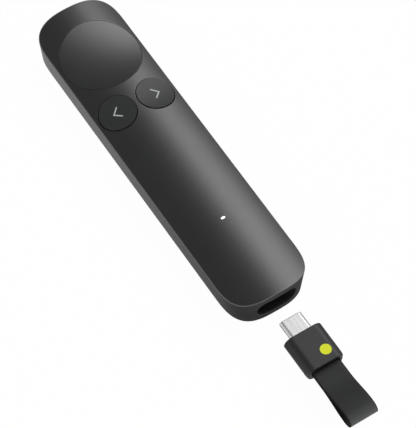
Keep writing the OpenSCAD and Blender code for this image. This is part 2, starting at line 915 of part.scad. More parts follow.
module socket_tongue() {
    base_w = plug_w + 2 * socket_gap - 2 * seat_fit;
    base_t = plug_t + 2 * socket_gap - 2 * seat_fit;
    y_base = y_socket_back - socket_wall - socket_base;
    color(soft_black)
    union() {
        bar_y(base_w, base_t, y_base, y_socket_back - socket_wall, dock_z);
        translate([-tongue_w / 2, y_bay_floor + tongue_clear, dock_z - tongue_t / 2])
            cube([tongue_w, y_base + eps - y_bay_floor - tongue_clear, tongue_t]);
    }
}

module dock_sleeve() {
    color(soft_black)
    difference() {
        bar_y(sleeve_w, sleeve_h, y_bulkhead, y_bay_floor + sleeve_back, dock_z);
        bar_y(bay_w, bay_h, y_bulkhead - 1, y_bay_floor, dock_z);
        bar_y(socket_w + 2 * seat_fit, socket_t + 2 * seat_fit, y_bay_floor - 1,
              y_bay_floor + sleeve_back + 1, dock_z);
    }
}

// ---------- battery ----------

module battery_pad() {
    color([0.9, 0.88, 0.8])
        translate([0, (battery_y0 + battery_y1) / 2, floor_t])
            plate(battery_w - 2 * pad_margin_w, battery_len - 2 * pad_margin_l, battery_corner,
                  battery_pad_t);
}

module battery_cell() {
    color([0.7, 0.72, 0.74])
        translate([0, (battery_y0 + battery_y1) / 2, battery_bottom])
            plate(battery_w, battery_len, battery_corner, battery_h);
}

module battery_connector() {
    color([0.9, 0.9, 0.85])
        block(0, connector_y, board_bottom - connector_h, connector_w, connector_l, connector_h);
}

module battery_leads() {
    y_end = connector_y - connector_l / 2;
    for (s = [-1, 1])
        color(s < 0 ? "firebrick" : "black")
            translate([s * lead_pitch / 2, y_end, lead_z])
                rotate([90, 0, 0])
                    cylinder(r = lead_r, h = y_end - battery_y1);
}

// ---------- vibration motor ----------

module motor_base() {
    color(steel)
        post(0, motor_at, motor_r, floor_t, floor_t + motor_base_t);
}

module motor_can() {
    color(steel)
    difference() {
        post(0, motor_at, motor_r, floor_t + motor_base_t, floor_t + motor_h);
        post(0, motor_at, motor_r - motor_wall, floor_t + motor_base_t - eps,
             floor_t + motor_h - motor_wall);
    }
}

module motor_shaft() {
    color(steel)
        post(0, motor_at, motor_shaft_r, floor_t + motor_base_t, floor_t + motor_h - motor_wall);
}

// Half-disc weight on a hub that turns round the shaft
module motor_rotor() {
    color(gold)
    difference() {
        union() {
            post(0, motor_at, hub_r, rotor_z, rotor_z + rotor_h);
            intersection() {
                post(0, motor_at, rotor_r, rotor_z, rotor_z + rotor_h);
                block(0, motor_at - motor_r, rotor_z - 1, 4 * motor_r, 2 * motor_r, motor_h);
            }
        }
        post(0, motor_at, motor_shaft_r + motor_fit, rotor_z - 1, rotor_z + motor_h);
    }
}

// ---------- receiver ----------

// Column whose plan is the receiver's, with round corners at the rear
module receiver_plan() {
    y_mid = (y_front + y_rear) / 2;
    translate([0, y_mid, 0])
        linear_extrude(2 * body_height)
            union() {
                translate([-receiver_w / 2, -receiver_len / 2 + receiver_corner])
                    square([receiver_w, receiver_len - receiver_corner]);
                translate([-receiver_w / 2 + receiver_corner, -receiver_len / 2])
                    square([receiver_w - 2 * receiver_corner, receiver_len]);
                for (s = [-1, 1])
                    translate([s * (receiver_w / 2 - receiver_corner),
                               -receiver_len / 2 + receiver_corner])
                        circle(r = receiver_corner);
            }
}

module badge_disc(z0, z1) {
    post(badge_x, y_rear + badge_back, badge_r, z0, z1);
}

module receiver_shell() {
    color(charcoal)
    difference() {
        intersection() {
            bar_y(receiver_w, receiver_t, y_rear, y_front, dock_z);
            receiver_plan();
        }
        difference() {
            bar_y(receiver_room_w, receiver_room_h, y_rear + receiver_rear, y_front + 1, dock_z);
            // rails under the board
            for (s = [-1, 1])
                block(s * receiver_board_w / 2, (y_plug_root + y_receiver_board) / 2,
                      dock_z - receiver_t / 2, 2 * rail_w, y_plug_root - y_receiver_board,
                      (receiver_t - receiver_board_t) / 2);
        }
        block(0, y_rear + receiver_rear / 2, strap_z - strap_t - mouth_gap,
              strap_w + 2 * mouth_gap, receiver_rear + 1, mouth_h);
        badge_disc(badge_top - badge_depth, badge_top + 1);
    }
}

module receiver_nose() {
    color(charcoal)
    difference() {
        bar_y(receiver_room_w - 2 * seat_fit, receiver_room_h - 2 * seat_fit,
              y_front - nose_t, y_front, dock_z);
        bar_y(plug_w + 2 * seat_fit, plug_t + 2 * seat_fit, y_front - nose_t - 1, y_front + 1,
              dock_z);
    }
}

module receiver_board() {
    color(board_green)
        translate([0, (y_plug_root + y_receiver_board) / 2, dock_z - receiver_board_t / 2])
            plate(receiver_board_w, y_plug_root - y_receiver_board, receiver_board_corner,
                  receiver_board_t);
}

module receiver_chip() {
    color(chip_black)
        block(0, (y_plug_root + y_receiver_board) / 2, dock_z + receiver_board_t / 2,
              small_chip_side, small_chip_side, chip_h);
}

module plug_shell() {
    color(steel)
    difference() {
        bar_y(plug_w, plug_t, y_plug_root, y_tip, dock_z);
        bar_y(plug_w - 2 * plug_wall, plug_t - 2 * plug_wall, y_plug_root - 1, y_tip + 1, dock_z);
    }
}

module plug_insulator() {
    color(soft_black)
    difference() {
        bar_y(plug_w - 2 * plug_wall - 2 * seat_fit, plug_t - 2 * plug_wall - 2 * seat_fit,
              y_plug_root, y_tip - plug_recess, dock_z);
        translate([-slot_w / 2, y_tip - slot_depth, dock_z - slot_h / 2])
            cube([slot_w, slot_depth + 1, slot_h]);
    }
}

module plug_contacts() {
    color(gold)
    for (s = [-1, 1], i = [0 : contact_count - 1])
        block((i - (contact_count - 1) / 2) * contact_pitch, y_tip - slot_depth + contact_l / 2,
              dock_z + (s > 0 ? slot_h / 2 - contact_t : -slot_h / 2),
              contact_w, contact_l, contact_t);
}

module receiver_badge() {
    color([0.84, 0.9, 0.15])
        badge_disc(badge_top - badge_depth, badge_top + badge_proud);
}

// ---------- strap ----------

y_strap_split = y_rear - strap_bond;
y_strap_bend = y_rear - strap_reach + strap_fold;
strap_steps = 14;
fold_steps = 12;
loop_z = strap_z + (strap_rise - strap_fall) / 2;
loop_half = strap_t + (strap_rise + strap_fall) / 2;

// Smooth step from 0 at the split to 1 at the bend
function blend(y) =
    let (u = (y_strap_split - y) / (y_strap_split - y_strap_bend))
    (1 - cos(180 * min(max(u, 0), 1))) / 2;

// Side outline of the loop, moved inwards by inset: one run, the round fold, the other run
function loop_outline(inset, y_start) = concat(
    [for (i = [0 : strap_steps])
        let (y = y_start + (y_strap_bend - y_start) * i / strap_steps)
        [y, strap_z + (strap_t - inset) + strap_rise * blend(y)]],
    [for (i = [1 : fold_steps - 1])
        let (a = 180 * i / fold_steps)
        [y_strap_bend - (strap_fold - inset) * sin(a), loop_z + (loop_half - inset) * cos(a)]],
    [for (i = [strap_steps : -1 : 0])
        let (y = y_start + (y_strap_bend - y_start) * i / strap_steps)
        [y, strap_z - (strap_t - inset) - strap_fall * blend(y)]]
);

module strap_loop() {
    gap_start = y_strap_split - 1;
    color([0.16, 0.165, 0.165])
    difference() {
        translate([-strap_w / 2, 0, 0])
            rotate([90, 0, 90])
                linear_extrude(strap_w)
                    difference() {
                        union() {
                            polygon(loop_outline(0, y_strap_split));
                            translate([y_strap_split - eps, strap_z - strap_t])
                                square([y_strap_in - y_strap_split + eps, 2 * strap_t]);
                        }
                        polygon(loop_outline(strap_t, gap_start));
                    }
        for (s = [-1, 1])
            post(s * pin_x, y_pins, pin_r + screw_fit, strap_z - 2, strap_z + 2);
    }
}

module strap_pins() {
    color(steel)
    for (s = [-1, 1])
        post(s * pin_x, y_pins, pin_r, dock_z - receiver_room_h / 2, dock_z + receiver_room_h / 2);
}

// ---------- the nodes ----------

upper_housing();
bay_end();
bottom_cover();
cover_strip();
cover_screws();
pointer_key();
back_key();
next_key();
back_mark();
next_mark();
light_pipe();
main_board();
board_screws();
pointer_switch();
back_switch();
next_switch();
pointer_plunger();
back_plunger();
next_plunger();
radio_chip();
shield_can();
antenna();
motion_sensor();
status_led();
usb_socket();
socket_tongue();
dock_sleeve();
battery_cell();
battery_pad();
battery_connector();
battery_leads();
motor_base();
motor_can();
motor_shaft();
motor_rotor();
receiver_shell();
receiver_nose();
receiver_board();
receiver_chip();
plug_shell();
plug_insulator();
plug_contacts();
receiver_badge();
strap_loop();
strap_pins();
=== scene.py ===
"""Dresses a wireless presentation clicker and its plug-in receiver.

The handset's two shells, its keys, the receiver and its strap are rebuilt as smooth, closed
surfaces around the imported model. Every other node keeps its mesh and gets a finish.
Forms are worked out in millimetres and turned into metres when a mesh is made.
"""
from __future__ import annotations

import json
import logging
import math
from dataclasses import dataclass
from enum import Enum

import bmesh
import bpy
import numpy as np
from mathutils import Matrix, Vector


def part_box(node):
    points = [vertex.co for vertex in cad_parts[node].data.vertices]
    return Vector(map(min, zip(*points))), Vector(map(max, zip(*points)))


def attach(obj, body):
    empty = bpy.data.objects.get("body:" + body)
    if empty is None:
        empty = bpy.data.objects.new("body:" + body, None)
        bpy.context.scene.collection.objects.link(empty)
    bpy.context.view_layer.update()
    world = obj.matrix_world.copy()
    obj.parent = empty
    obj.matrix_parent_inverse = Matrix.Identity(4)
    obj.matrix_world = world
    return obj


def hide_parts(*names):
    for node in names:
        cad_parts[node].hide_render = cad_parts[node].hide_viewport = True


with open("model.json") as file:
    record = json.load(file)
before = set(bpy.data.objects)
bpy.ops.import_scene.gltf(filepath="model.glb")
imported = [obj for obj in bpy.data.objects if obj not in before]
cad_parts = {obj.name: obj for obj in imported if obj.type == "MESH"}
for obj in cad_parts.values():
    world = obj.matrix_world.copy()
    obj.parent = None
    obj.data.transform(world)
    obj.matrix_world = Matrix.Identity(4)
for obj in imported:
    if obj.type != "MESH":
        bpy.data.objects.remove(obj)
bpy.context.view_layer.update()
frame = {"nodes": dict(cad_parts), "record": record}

LOG = logging.getLogger("clicker")
MM = 0.001
WELD = 2e-6
CREASE = math.radians(40)
MARK = "mark"
NOISE_RANGE = (0.3, 0.7)
KEY_RADIUS = 6.4
Array = np.ndarray
Pair = tuple[float, float]
Triple = tuple[float, float, float]
Output = bpy.types.NodeSocket
Piece = bpy.types.Object
Feed = Output | float | Array | tuple | None


# ---------- points ----------


def node_box(node: str) -> Array:
    """Lowest and highest corner of a node, in millimetres."""
    return np.array([list(corner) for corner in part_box(node)]) / MM


def node_centre(node: str) -> Array:
    """Middle of a node's box, in millimetres."""
    return node_box(node).mean(axis=0)


def ways(turn: Array) -> Array:
    """Unit vectors at angles: their cosines and sines."""
    return np.column_stack([np.cos(turn), np.sin(turn)])


def circle(columns: int) -> Array:
    """Evenly spaced points of the unit circle."""
    return ways(np.linspace(0, 2 * math.pi, columns, endpoint=False))


def unit(vectors: Array) -> Array:
    """Vectors divided by their lengths."""
    return vectors / np.linalg.norm(vectors, axis=-1, keepdims=True)


def level(plan: Array, z: Array | float) -> Array:
    """Puts plan points at a height, or each at its own."""
    return np.column_stack([plan[:, :2], np.broadcast_to(z, len(plan))])


def between(a: Array, b: Array, shares: Array | tuple[float, ...]) -> Array:
    """Rows of points that lie at shares of the way from a to b."""
    return a + (b - a) * np.reshape(shares, (-1, 1, 1))


def bezier(a: Array, corner: Array, c: Array, steps: int) -> list[Array]:
    """Rounds a corner from a to c in steps: (1-t)^2 a + 2t(1-t) corner + t^2 c."""
    shares = np.linspace(0, 1, steps + 1)
    return [(1 - t) ** 2 * a + 2 * t * (1 - t) * corner + t ** 2 * c for t in shares]


def half_stadium(width: float, height: float, low: int, side: int, high: int) -> Array:
    """Right half of a stadium, from the middle of its lower side round to its upper side.

    The lower and the upper stretch each take in a quarter of the round end, so that the points
    stay evenly spaced. The turn is the distance past the straight over the radius.

    Args:
        width: Overall width.
        height: Overall height, and the round ends' diameter.
        low: Spans of the lower stretch.
        side: Spans of the round stretch.
        high: Spans of the upper stretch.

    Returns:
        Points, shape (low + side + high + 1, 2).
    """
    radius = height / 2
    straight = width / 2 - radius
    stretch = straight + radius * math.pi / 4
    total = 2 * straight + radius * math.pi
    distance = np.concatenate([
        np.linspace(0, stretch, low + 1)[:-1],
        np.linspace(stretch, total - stretch, side + 1),
        np.linspace(total - stretch, total, high + 1)[1:],
    ])
    turn = np.clip((distance - straight) / radius, 0, math.pi)
    x = np.minimum(straight, np.minimum(distance, total - distance)) + radius * np.sin(turn)
    x[-1] = 0
    return np.column_stack([x, -radius * np.cos(turn)])


def stadium_loop(width: float, height: float, spans: int) -> Array:
    """Whole outline of a stadium as 6 spans points: half_stadium and its reflection."""
    right = half_stadium(width, height, spans, spans, spans)
    return np.concatenate([right, right[::-1][1:-1] * [-1, 1]])


class Patchwork:
    """Collects grids of points, welds them where they meet, and makes one closed mesh."""

    def __init__(self) -> None:
        """Starts with no points."""
        self.points: list[Array] = []
        self.faces: list[Array] = []
        self.marks: list[Array] = []
        self.count = 0

    def add(self, grid: Array | list[Array], loop: bool = False, mark: Array | float = 0) -> Patchwork:
        """Adds a grid of quads.

        Args:
            grid: Rows of points, shape (rows, columns, 3), in millimetres.
            loop: Whether the last column joins the first.
            mark: A number for all rows or one for each, for finishes that change along them.

        Returns:
            The patchwork.
        """
        grid = np.asarray(grid, float)
        rows, columns = grid.shape[:2]
        index = self.count + np.arange(rows * columns).reshape(rows, columns)
        if loop:
            index = np.hstack([index, index[:, :1]])
        quads = np.stack([index[:-1, :-1], index[:-1, 1:], index[1:, 1:], index[1:, :-1]], -1)
        self.points.append(grid.reshape(-1, 3))
        self.faces.append(quads.reshape(-1, 4))
        self.marks.append(np.repeat(np.broadcast_to(np.asarray(mark, float), rows), columns))
        self.count += rows * columns
        return self

    def mirror(self) -> Patchwork:
        """Adds the reflection of every grid in the plane x = 0.

        Returns:
            The patchwork.
        """
        self.points.append(np.concatenate(self.points) * [-1, 1, 1])
        self.faces.append(np.concatenate(self.faces)[:, ::-1] + self.count)
        self.marks.append(np.concatenate(self.marks))
        self.count *= 2
        return self

    def build(self, name: str) -> Piece:
        """Makes the object: welds, points the faces outwards and smooths up to the crease angle.

        Args:
            name: Name of the piece.

        Returns:
            The object, linked to the scene.
        """
        mesh = bpy.data.meshes.new(name)
        points = (np.concatenate(self.points) * MM).tolist()
        mesh.from_pydata(points, [], np.concatenate(self.faces).tolist())
        marks = mesh.attributes.new(MARK, "FLOAT", "POINT")
        marks.data.foreach_set("value", np.concatenate(self.marks))
        shell = bmesh.new()
        shell.from_mesh(mesh)
        bmesh.ops.remove_doubles(shell, verts=shell.verts, dist=WELD)
        bmesh.ops.recalc_face_normals(shell, faces=shell.faces)
        open_edges = sum(not edge.is_manifold for edge in shell.edges)
        shell.to_mesh(mesh)
        shell.free()
        mesh.shade_smooth()
        mesh.set_sharp_from_angle(angle=CREASE)
        piece = bpy.data.objects.new(name, mesh)
        bpy.context.scene.collection.objects.link(piece)
        LOG.info("%s: %d faces, %d open edges", name, len(mesh.polygons), open_edges)
        return piece


# ---------- finishes ----------


class Socket(str, Enum):
    """Inputs of the surface shader that a finish feeds."""

    COLOUR = "Base Color"
    ROUGHNESS = "Roughness"
    METALLIC = "Metallic"
    SPECULAR = "Specular IOR Level"
    SHEEN = "Sheen Weight"
    SHEEN_ROUGHNESS = "Sheen Roughness"
    GLOW = "Emission Color"
    GLOW_STRENGTH = "Emission Strength"
    NORMAL = "Normal"


class Blend(Enum):
    """A mix node's type of data, how many inputs it skips after the share, and its output's place."""

    NUMBERS = ("FLOAT", 1, 0)
    COLOURS = ("RGBA", 5, 2)


class NodeBench:
    """A material's or world's node tree, and the few nodes that everything is made from."""

    def __init__(self, owner: bpy.types.Material | bpy.types.World,
                 shader: str = "Principled BSDF") -> None:
        """Takes up the owner's node tree.

        Args:
            owner: A new material or world.
            shader: Name of the shader node that it starts with.
        """
        owner.use_nodes = True
        self.owner = owner
        self.nodes = owner.node_tree.nodes
        self.shader = self.nodes[shader]

    def feed(self, target: Output, value: Feed) -> None:
        """Links an output to an input, or sets the input.

        Args:
            target: The input.
            value: An output, a number, a vector, an opaque colour, or None to leave it.
        """
        if isinstance(value, Output):
            self.owner.node_tree.links.new(value, target)
        elif value is not None:
            target.default_value = (*value, 1) if target.type == "RGBA" else value

    def node(self, kind: str, *values: Feed, **named: object) -> bpy.types.Node:
        """Adds a node and feeds its inputs.

        Args:
            kind: Blender's name for the node's type, after the word ShaderNode.
            values: What its first inputs get.
            named: Properties by name, and inputs by name with spaces written as underscores.

        Returns:
            The node.
        """
        made = self.nodes.new("ShaderNode" + kind)
        for name, value in named.items():
            if hasattr(made, name):
                setattr(made, name, value)
            else:
                self.feed(made.inputs[name.replace("_", " ")], value)
        for target, value in zip(made.inputs, values):
            self.feed(target, value)
        return made

    def set(self, socket: Socket, value: Feed) -> None:
        """Feeds an input of the shader."""
        self.feed(self.shader.inputs[socket.value], value)

    def maths(self, operation: str, *values: Feed) -> Output:
        """Result of a maths operation on numbers or outputs."""
        return self.node("Math", *values, operation=operation).outputs[0]

    def mark(self) -> Output:
        """The number that the mesh carries at each point."""
        return self.node("Attribute", attribute_name=MARK).outputs["Fac"]

    def place(self, stretch: Triple = (1, 1, 1)) -> Output:
        """Object coordinates, stretched along x, y and z."""
        coordinates = self.node("TexCoord").outputs["Object"]
        return self.node("Mapping", Vector=coordinates, Scale=stretch).outputs["Vector"]

    def along(self, coordinate: str, way: Triple) -> Output:
        """How far a texture coordinate reaches along a way: their dot product."""
        vector = self.node("TexCoord").outputs[coordinate]
        return self.node("VectorMath", vector, way, operation="DOT_PRODUCT").outputs["Value"]

    def noise(self, vector: Output, scale: float, detail: float = 2) -> Output:
        """Cloudy noise from 0 to 1 at a scale per metre."""
        return self.node("TexNoise", Vector=vector, Scale=scale, Detail=detail).outputs["Fac"]

    def remap(self, value: Output, ends: Pair, results: Pair = (0, 1), smooth: bool = False) -> Output:
        """Turns a value between two ends into one between two results, smoothly or in a straight line."""
        shape = "SMOOTHSTEP" if smooth else "LINEAR"
        return self.node("MapRange", value, *ends, *results, interpolation_type=shape).outputs[0]

    def spread(self, noise: Output, low: float = 0, high: float = 1) -> Output:
        """Maps noise from its usual range onto low to high."""
        return self.remap(noise, NOISE_RANGE, (low, high))

    def away(self, value: Output, middle: float, ends: Pair, results: Pair = (0, 1)) -> Output:
        """Turns a value's distance from the middle, between two ends, into two results."""
        distance = self.maths("ABSOLUTE", self.maths("SUBTRACT", value, middle))
        return self.remap(distance, ends, results, smooth=True)

    def mix(self, blend: Blend, share: Feed, low: Feed, high: Feed) -> Output:
        """Blends two numbers or colours by a share from 0 to 1."""
        kind, skipped, result = blend.value
        return self.node("Mix", share, *[None] * skipped, low, high, data_type=kind).outputs[result]

    def turn_into(self, socket: Socket, share: Output, value: Triple) -> None:
        """Blends what feeds an input of the shader towards three numbers, by a share from 0 to 1."""
        kept = self.shader.inputs[socket.value].links[0].from_socket
        self.set(socket, self.mix(Blend.COLOURS, share, kept, value))


@dataclass(frozen=True)
class Finish:
    """Moulded plastic, rubber or ceramic with a fine spark-eroded grain."""

    name: str
    colour: Triple
    roughness: float = 0.5
    specular: float = 0.5
    grain: float = 5000
    grain_depth: float = 1.5e-6
    patchy: float = 0.06
    clouds: float = 90
    uneven: float = 0.03

    def cover(self, bench: NodeBench, tone: Output, rough: Output, height: Output) -> None:
        """Feeds the colour, the roughness and the relief.

        Args:
            bench: The material to build in.
            tone: Share of the paler tone, from 0 to 1.
            rough: Noise that the roughness follows.
            height: Height of the relief, from 0 to 1.
        """
        dark, pale = (np.array(self.colour) * (1 + side * self.patchy) for side in (-1, 1))
        bench.set(Socket.COLOUR, bench.mix(Blend.COLOURS, tone, dark, pale))
        low, high = self.roughness - self.uneven, self.roughness + self.uneven
        bench.set(Socket.ROUGHNESS, bench.spread(rough, low, high))
        relief = bench.node("Bump", Strength=1.0, Distance=self.grain_depth, Height=height)
        bench.set(Socket.NORMAL, relief.outputs["Normal"])
        bench.set(Socket.SPECULAR, self.specular)

    def dress(self, bench: NodeBench) -> None:
        """Lays fine grain over slow clouds of tone.

        Args:
            bench: The material to build in.
        """
        place = bench.place()
        grain = bench.noise(place, self.grain)
        self.cover(bench, bench.spread(bench.noise(place, self.clouds, detail=3)), grain, grain)

    def material(self) -> bpy.types.Material:
        """Makes the material.

        Returns:
            The finished material.
        """
        bench = NodeBench(bpy.data.materials.new(self.name))
        self.dress(bench)
        return bench.owner


@dataclass(frozen=True)
class PaintedRecessRimFinish(Finish):
    """Moulded plastic with a flat tone painted where the mark is 1, in place of a recess's light and shade
    (painted shade in the handset's bay, painted light in the receiver's mouth), and a paler highlight
    painted on the rim where it is -1.
    """

    # Flat colour painted into a recess in place of its shade or light, and the recess's roughness.
    painted_recess_tone: Triple = (0.003, 0.003, 0.003)
    recess_roughness: float = 0.9
    # Paler colour painted on the rim's rounding as a highlight line.
    painted_rim_highlight: Triple = (0.1, 0.103, 0.101)

    def dress(self, bench: NodeBench) -> None:
        """Turns the plain finish into the painted recess tone or the painted rim highlight by the mark.

        Args:
            bench: The material to build in.
        """
        super().dress(bench)
        mark = bench.mark()
        # Painted highlight: the rim rows, marked -1, turn paler.
        bench.turn_into(Socket.COLOUR, bench.maths("MULTIPLY", mark, -1), self.painted_rim_highlight)
        # Painted recess tone: where the mark is 1, a flat colour stands in for the recess's shade or light.
        bench.turn_into(Socket.COLOUR, mark, self.painted_recess_tone)
        bench.turn_into(Socket.ROUGHNESS, mark, (self.recess_roughness,) * 3)


@dataclass(frozen=True)
class MetalFinish(Finish):
    """Metal with drawing lines along one axis."""

    uneven: float = 0.05
    stretch: Triple = (1, 0.05, 1)

    def dress(self, bench: NodeBench) -> None:
        """Builds streaked noise for tone, roughness and relief.

        Args:
            bench: The material to build in.
        """
        streaks = bench.noise(bench.place(self.stretch), self.grain, detail=3)
        self.cover(bench, bench.spread(streaks), streaks, streaks)
        bench.set(Socket.METALLIC, 1.0)


@dataclass(frozen=True)
class RolledFinish(MetalFinish):
    """Satin metal painted paler where its normal tips away from a tilted axis: partly a polished roll,
    partly a painted reflection that lifts one side sooner than the other.
    """

    polish_and_painted_reflection: Triple = (0.8, 0.8, 0.8)
    # The axis leans to one side, so one rolled side takes the painted reflection sooner than the other.
    faces: Triple = (0.25, 0.0, 0.968)
    flat: Pair = (0.72, 0.95)

    def dress(self, bench: NodeBench) -> None:
        """Turns the satin into the paler polish and painted reflection as the normal's part along the tilted
        axis falls.

        Args:
            bench: The material to build in.
        """
        super().dress(bench)
        # Painted reflection: paler metal colour where the normal tips away from the axis.
        rolled = bench.away(bench.along("Normal", self.faces), 0, self.flat, (1, 0))
        bench.turn_into(Socket.COLOUR, rolled, self.polish_and_painted_reflection)


@dataclass(frozen=True)
class GlowFinish(Finish):
    """Clear lens that is lit from behind, and dim at its rim, where the mark is 1."""

    strength: float = 1.0

    def dress(self, bench: NodeBench) -> None:
        """Adds a glow of the strength times one minus the mark.

        Args:
            bench: The material to build in.
        """
        super().dress(bench)
        bench.set(Socket.GLOW, self.colour)
        glow = bench.maths("MULTIPLY_ADD", bench.mark(), -self.strength, self.strength)
        bench.set(Socket.GLOW_STRENGTH, glow)


@dataclass(frozen=True)
class TapeFinish(Finish):
    """Flat woven tape: threads along it cross threads over its width, and shade is painted black along its
    edges.
    """

    uneven: float = 0.05
    thread: float = 0.25
    pick: float = 0.2
    weave_share: float = 0.3
    # Painted shade: how far in from the middle the black edge begins and ends, and its colour.
    edge_shade_reach: Pair = (4.85, 5.0)
    painted_edge_shade: Triple = (0.002, 0.002, 0.002)
    fold: float = 27.0
    # Painted highlight: how far from the fold the paler colour reaches, and its colour.
    fold_highlight_reach: Pair = (0.2, 5.5)
    painted_fold_highlight: Triple = (0.105, 0.107, 0.107)
    sheen: float = 0.05
    sheen_roughness: float = 0.5

    def wave(self, bench: NodeBench, distance: Output, pitch: float) -> Output:
        """Sine of a distance, one turn per pitch."""
        return bench.maths("SINE", bench.maths("MULTIPLY", distance, 2 * math.pi / pitch))

    def dress(self, bench: NodeBench) -> None:
        """Multiplies waves across and along the tape for the weave, and paints a pale highlight at the fold.

        Args:
            bench: The material to build in.
        """
        across = bench.along("Object", (1, 0, 0))
        run = bench.mark()
        weave = bench.maths("MULTIPLY", self.wave(bench, across, self.thread * MM),
                            self.wave(bench, run, self.pick))
        height = bench.remap(weave, (-1, 1))
        fuzz = bench.noise(bench.place(), self.grain, detail=3)
        tone = bench.mix(Blend.NUMBERS, self.weave_share, bench.spread(fuzz), height)
        self.cover(bench, tone, fuzz, height)
        # Painted highlight: paler colour near the fold, where the tape turns round.
        fold_highlight = bench.away(run, self.fold, self.fold_highlight_reach, (1, 0))
        bench.turn_into(Socket.COLOUR, fold_highlight, self.painted_fold_highlight)
        # Painted shade: black colour along both edges of the tape.
        edge = bench.away(across, 0, [MM * reach for reach in self.edge_shade_reach])
        bench.turn_into(Socket.COLOUR, edge, self.painted_edge_shade)
        bench.turn_into(Socket.ROUGHNESS, edge, (1, 1, 1))
        bench.set(Socket.SHEEN, self.sheen)
        bench.set(Socket.SHEEN_ROUGHNESS, self.sheen_roughness)


FINISHES: dict[str, Finish] = {
    # The housing's finish paints shade into the bay's mouth and a highlight along the rim.
    "housing_plastic": PaintedRecessRimFinish("satin_charcoal", (0.0155, 0.0165, 0.016), 0.36, 0.667, 4200, 4e-7),
    "key_plastic": Finish("soft_touch_charcoal", (0.0305, 0.032, 0.0313), 0.36, 0.206, 4200, 4e-7),
    "mark_grey": Finish("pale_grey_mark", (0.44, 0.45, 0.45), 0.5, 0.4),
    "light_lens": GlowFinish("lit_lens", (0.95, 0.97, 1.0), 0.3, strength=1.6),
    "strip_film": Finish("matte_film", (0.02, 0.02, 0.021), 0.6, 0.4, 3000),
    "screw_steel": MetalFinish("zinc_steel", (0.62, 0.62, 0.63), 0.35),
    "board_laminate": Finish("green_mask", (0.012, 0.09, 0.045), 0.35, patchy=0.25),
    "chip_black": Finish("chip_epoxy", (0.02, 0.02, 0.022), 0.55),
    "switch_black": Finish("switch_moulding", (0.03, 0.03, 0.032), 0.45),
    "plunger_ivory": Finish("acetal_ivory", (0.7, 0.68, 0.62), 0.35),
    "shield_tin": MetalFinish("tinned_sheet", (0.68, 0.68, 0.66), 0.32),
    "antenna_ceramic": Finish("white_ceramic", (0.75, 0.75, 0.72), 0.3),
    "led_lens": GlowFinish("phosphor_lens", (0.95, 0.9, 0.7), 0.3),
    "bay_black": Finish("bay_black", (0.010, 0.010, 0.011), 0.55, 0.35),
    "battery_foil": MetalFinish("pouch_foil", (0.6, 0.62, 0.65), 0.4, stretch=(1, 0.3, 1)),
    "pad_adhesive": Finish("foam_adhesive", (0.6, 0.58, 0.5), 0.8),
    "connector_ivory": Finish("nylon_ivory", (0.75, 0.74, 0.7), 0.45),
    "lead_insulation": Finish("red_insulation", (0.3, 0.03, 0.03)),
    "motor_steel": MetalFinish("drawn_steel", (0.6, 0.6, 0.6), 0.3),
    "rotor_brass": MetalFinish("turned_brass", (0.7, 0.55, 0.25), 0.3, stretch=(1, 1, 0.05)),
    # The receiver's finish paints a paler tone inside the strap's mouth, as light that the recess doesn't
    # get.
    "receiver_plastic": PaintedRecessRimFinish("matte_charcoal", (0.013, 0.0138, 0.0135), 0.52, 0.42, 4200, 6e-7,
                                    painted_recess_tone=(0.12, 0.124, 0.122)),
    "plug_metal": RolledFinish("satin_nickel", (0.49, 0.49, 0.49), grain=2500, grain_depth=1.5e-7,
                               patchy=0.01),
    "contact_gold": MetalFinish("gold_flash", (0.85, 0.65, 0.3), 0.25),
    "badge_yellow": Finish("yellow_enamel", (0.69, 0.75, 0.005), 0.4, 0.25, 2500, 5e-7, 0.02),
    # The tape paints a highlight at its fold and shade along its edges.
    "strap_webbing": TapeFinish("woven_tape", (0.0135, 0.0142, 0.0142), 0.6, 0.3, 2500, 1e-5, 0.12),
}


class Wardrobe:
    """Hands out the finishes by the record's slots, each made once."""

    def __init__(self, record: dict) -> None:
        """Reads which slot each node has, and makes the finishes of those slots."""
        self.slots = {part["node"]: part["material_slot"] for part in record["subparts"]}
        self.made = {slot: FINISHES[slot].material() for slot in dict.fromkeys(self.slots.values())}

    def dress(self, piece: Piece, slot: str) -> None:
        """Gives a piece its only material."""
        piece.data.materials.clear()
        piece.data.materials.append(self.made[slot])

    def fit(self, piece: Piece, body: str, *nodes: str) -> Piece:
        """Dresses a new piece as the nodes it stands for and puts it on their body.

        Args:
            piece: The new piece.
            body: The body that carries it.
            nodes: The nodes that it stands for.

        Returns:
            The piece.
        """
        slot = self.slots[nodes[0]]
        self.dress(piece, slot)
        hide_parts(*nodes)
        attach(piece, body)
        return piece

    def dress_nodes(self, nodes: dict[str, Piece]) -> None:
        """Gives every node's own mesh its finish."""
        for name, piece in nodes.items():
            self.dress(piece, self.slots[name])


# ---------- handset ----------


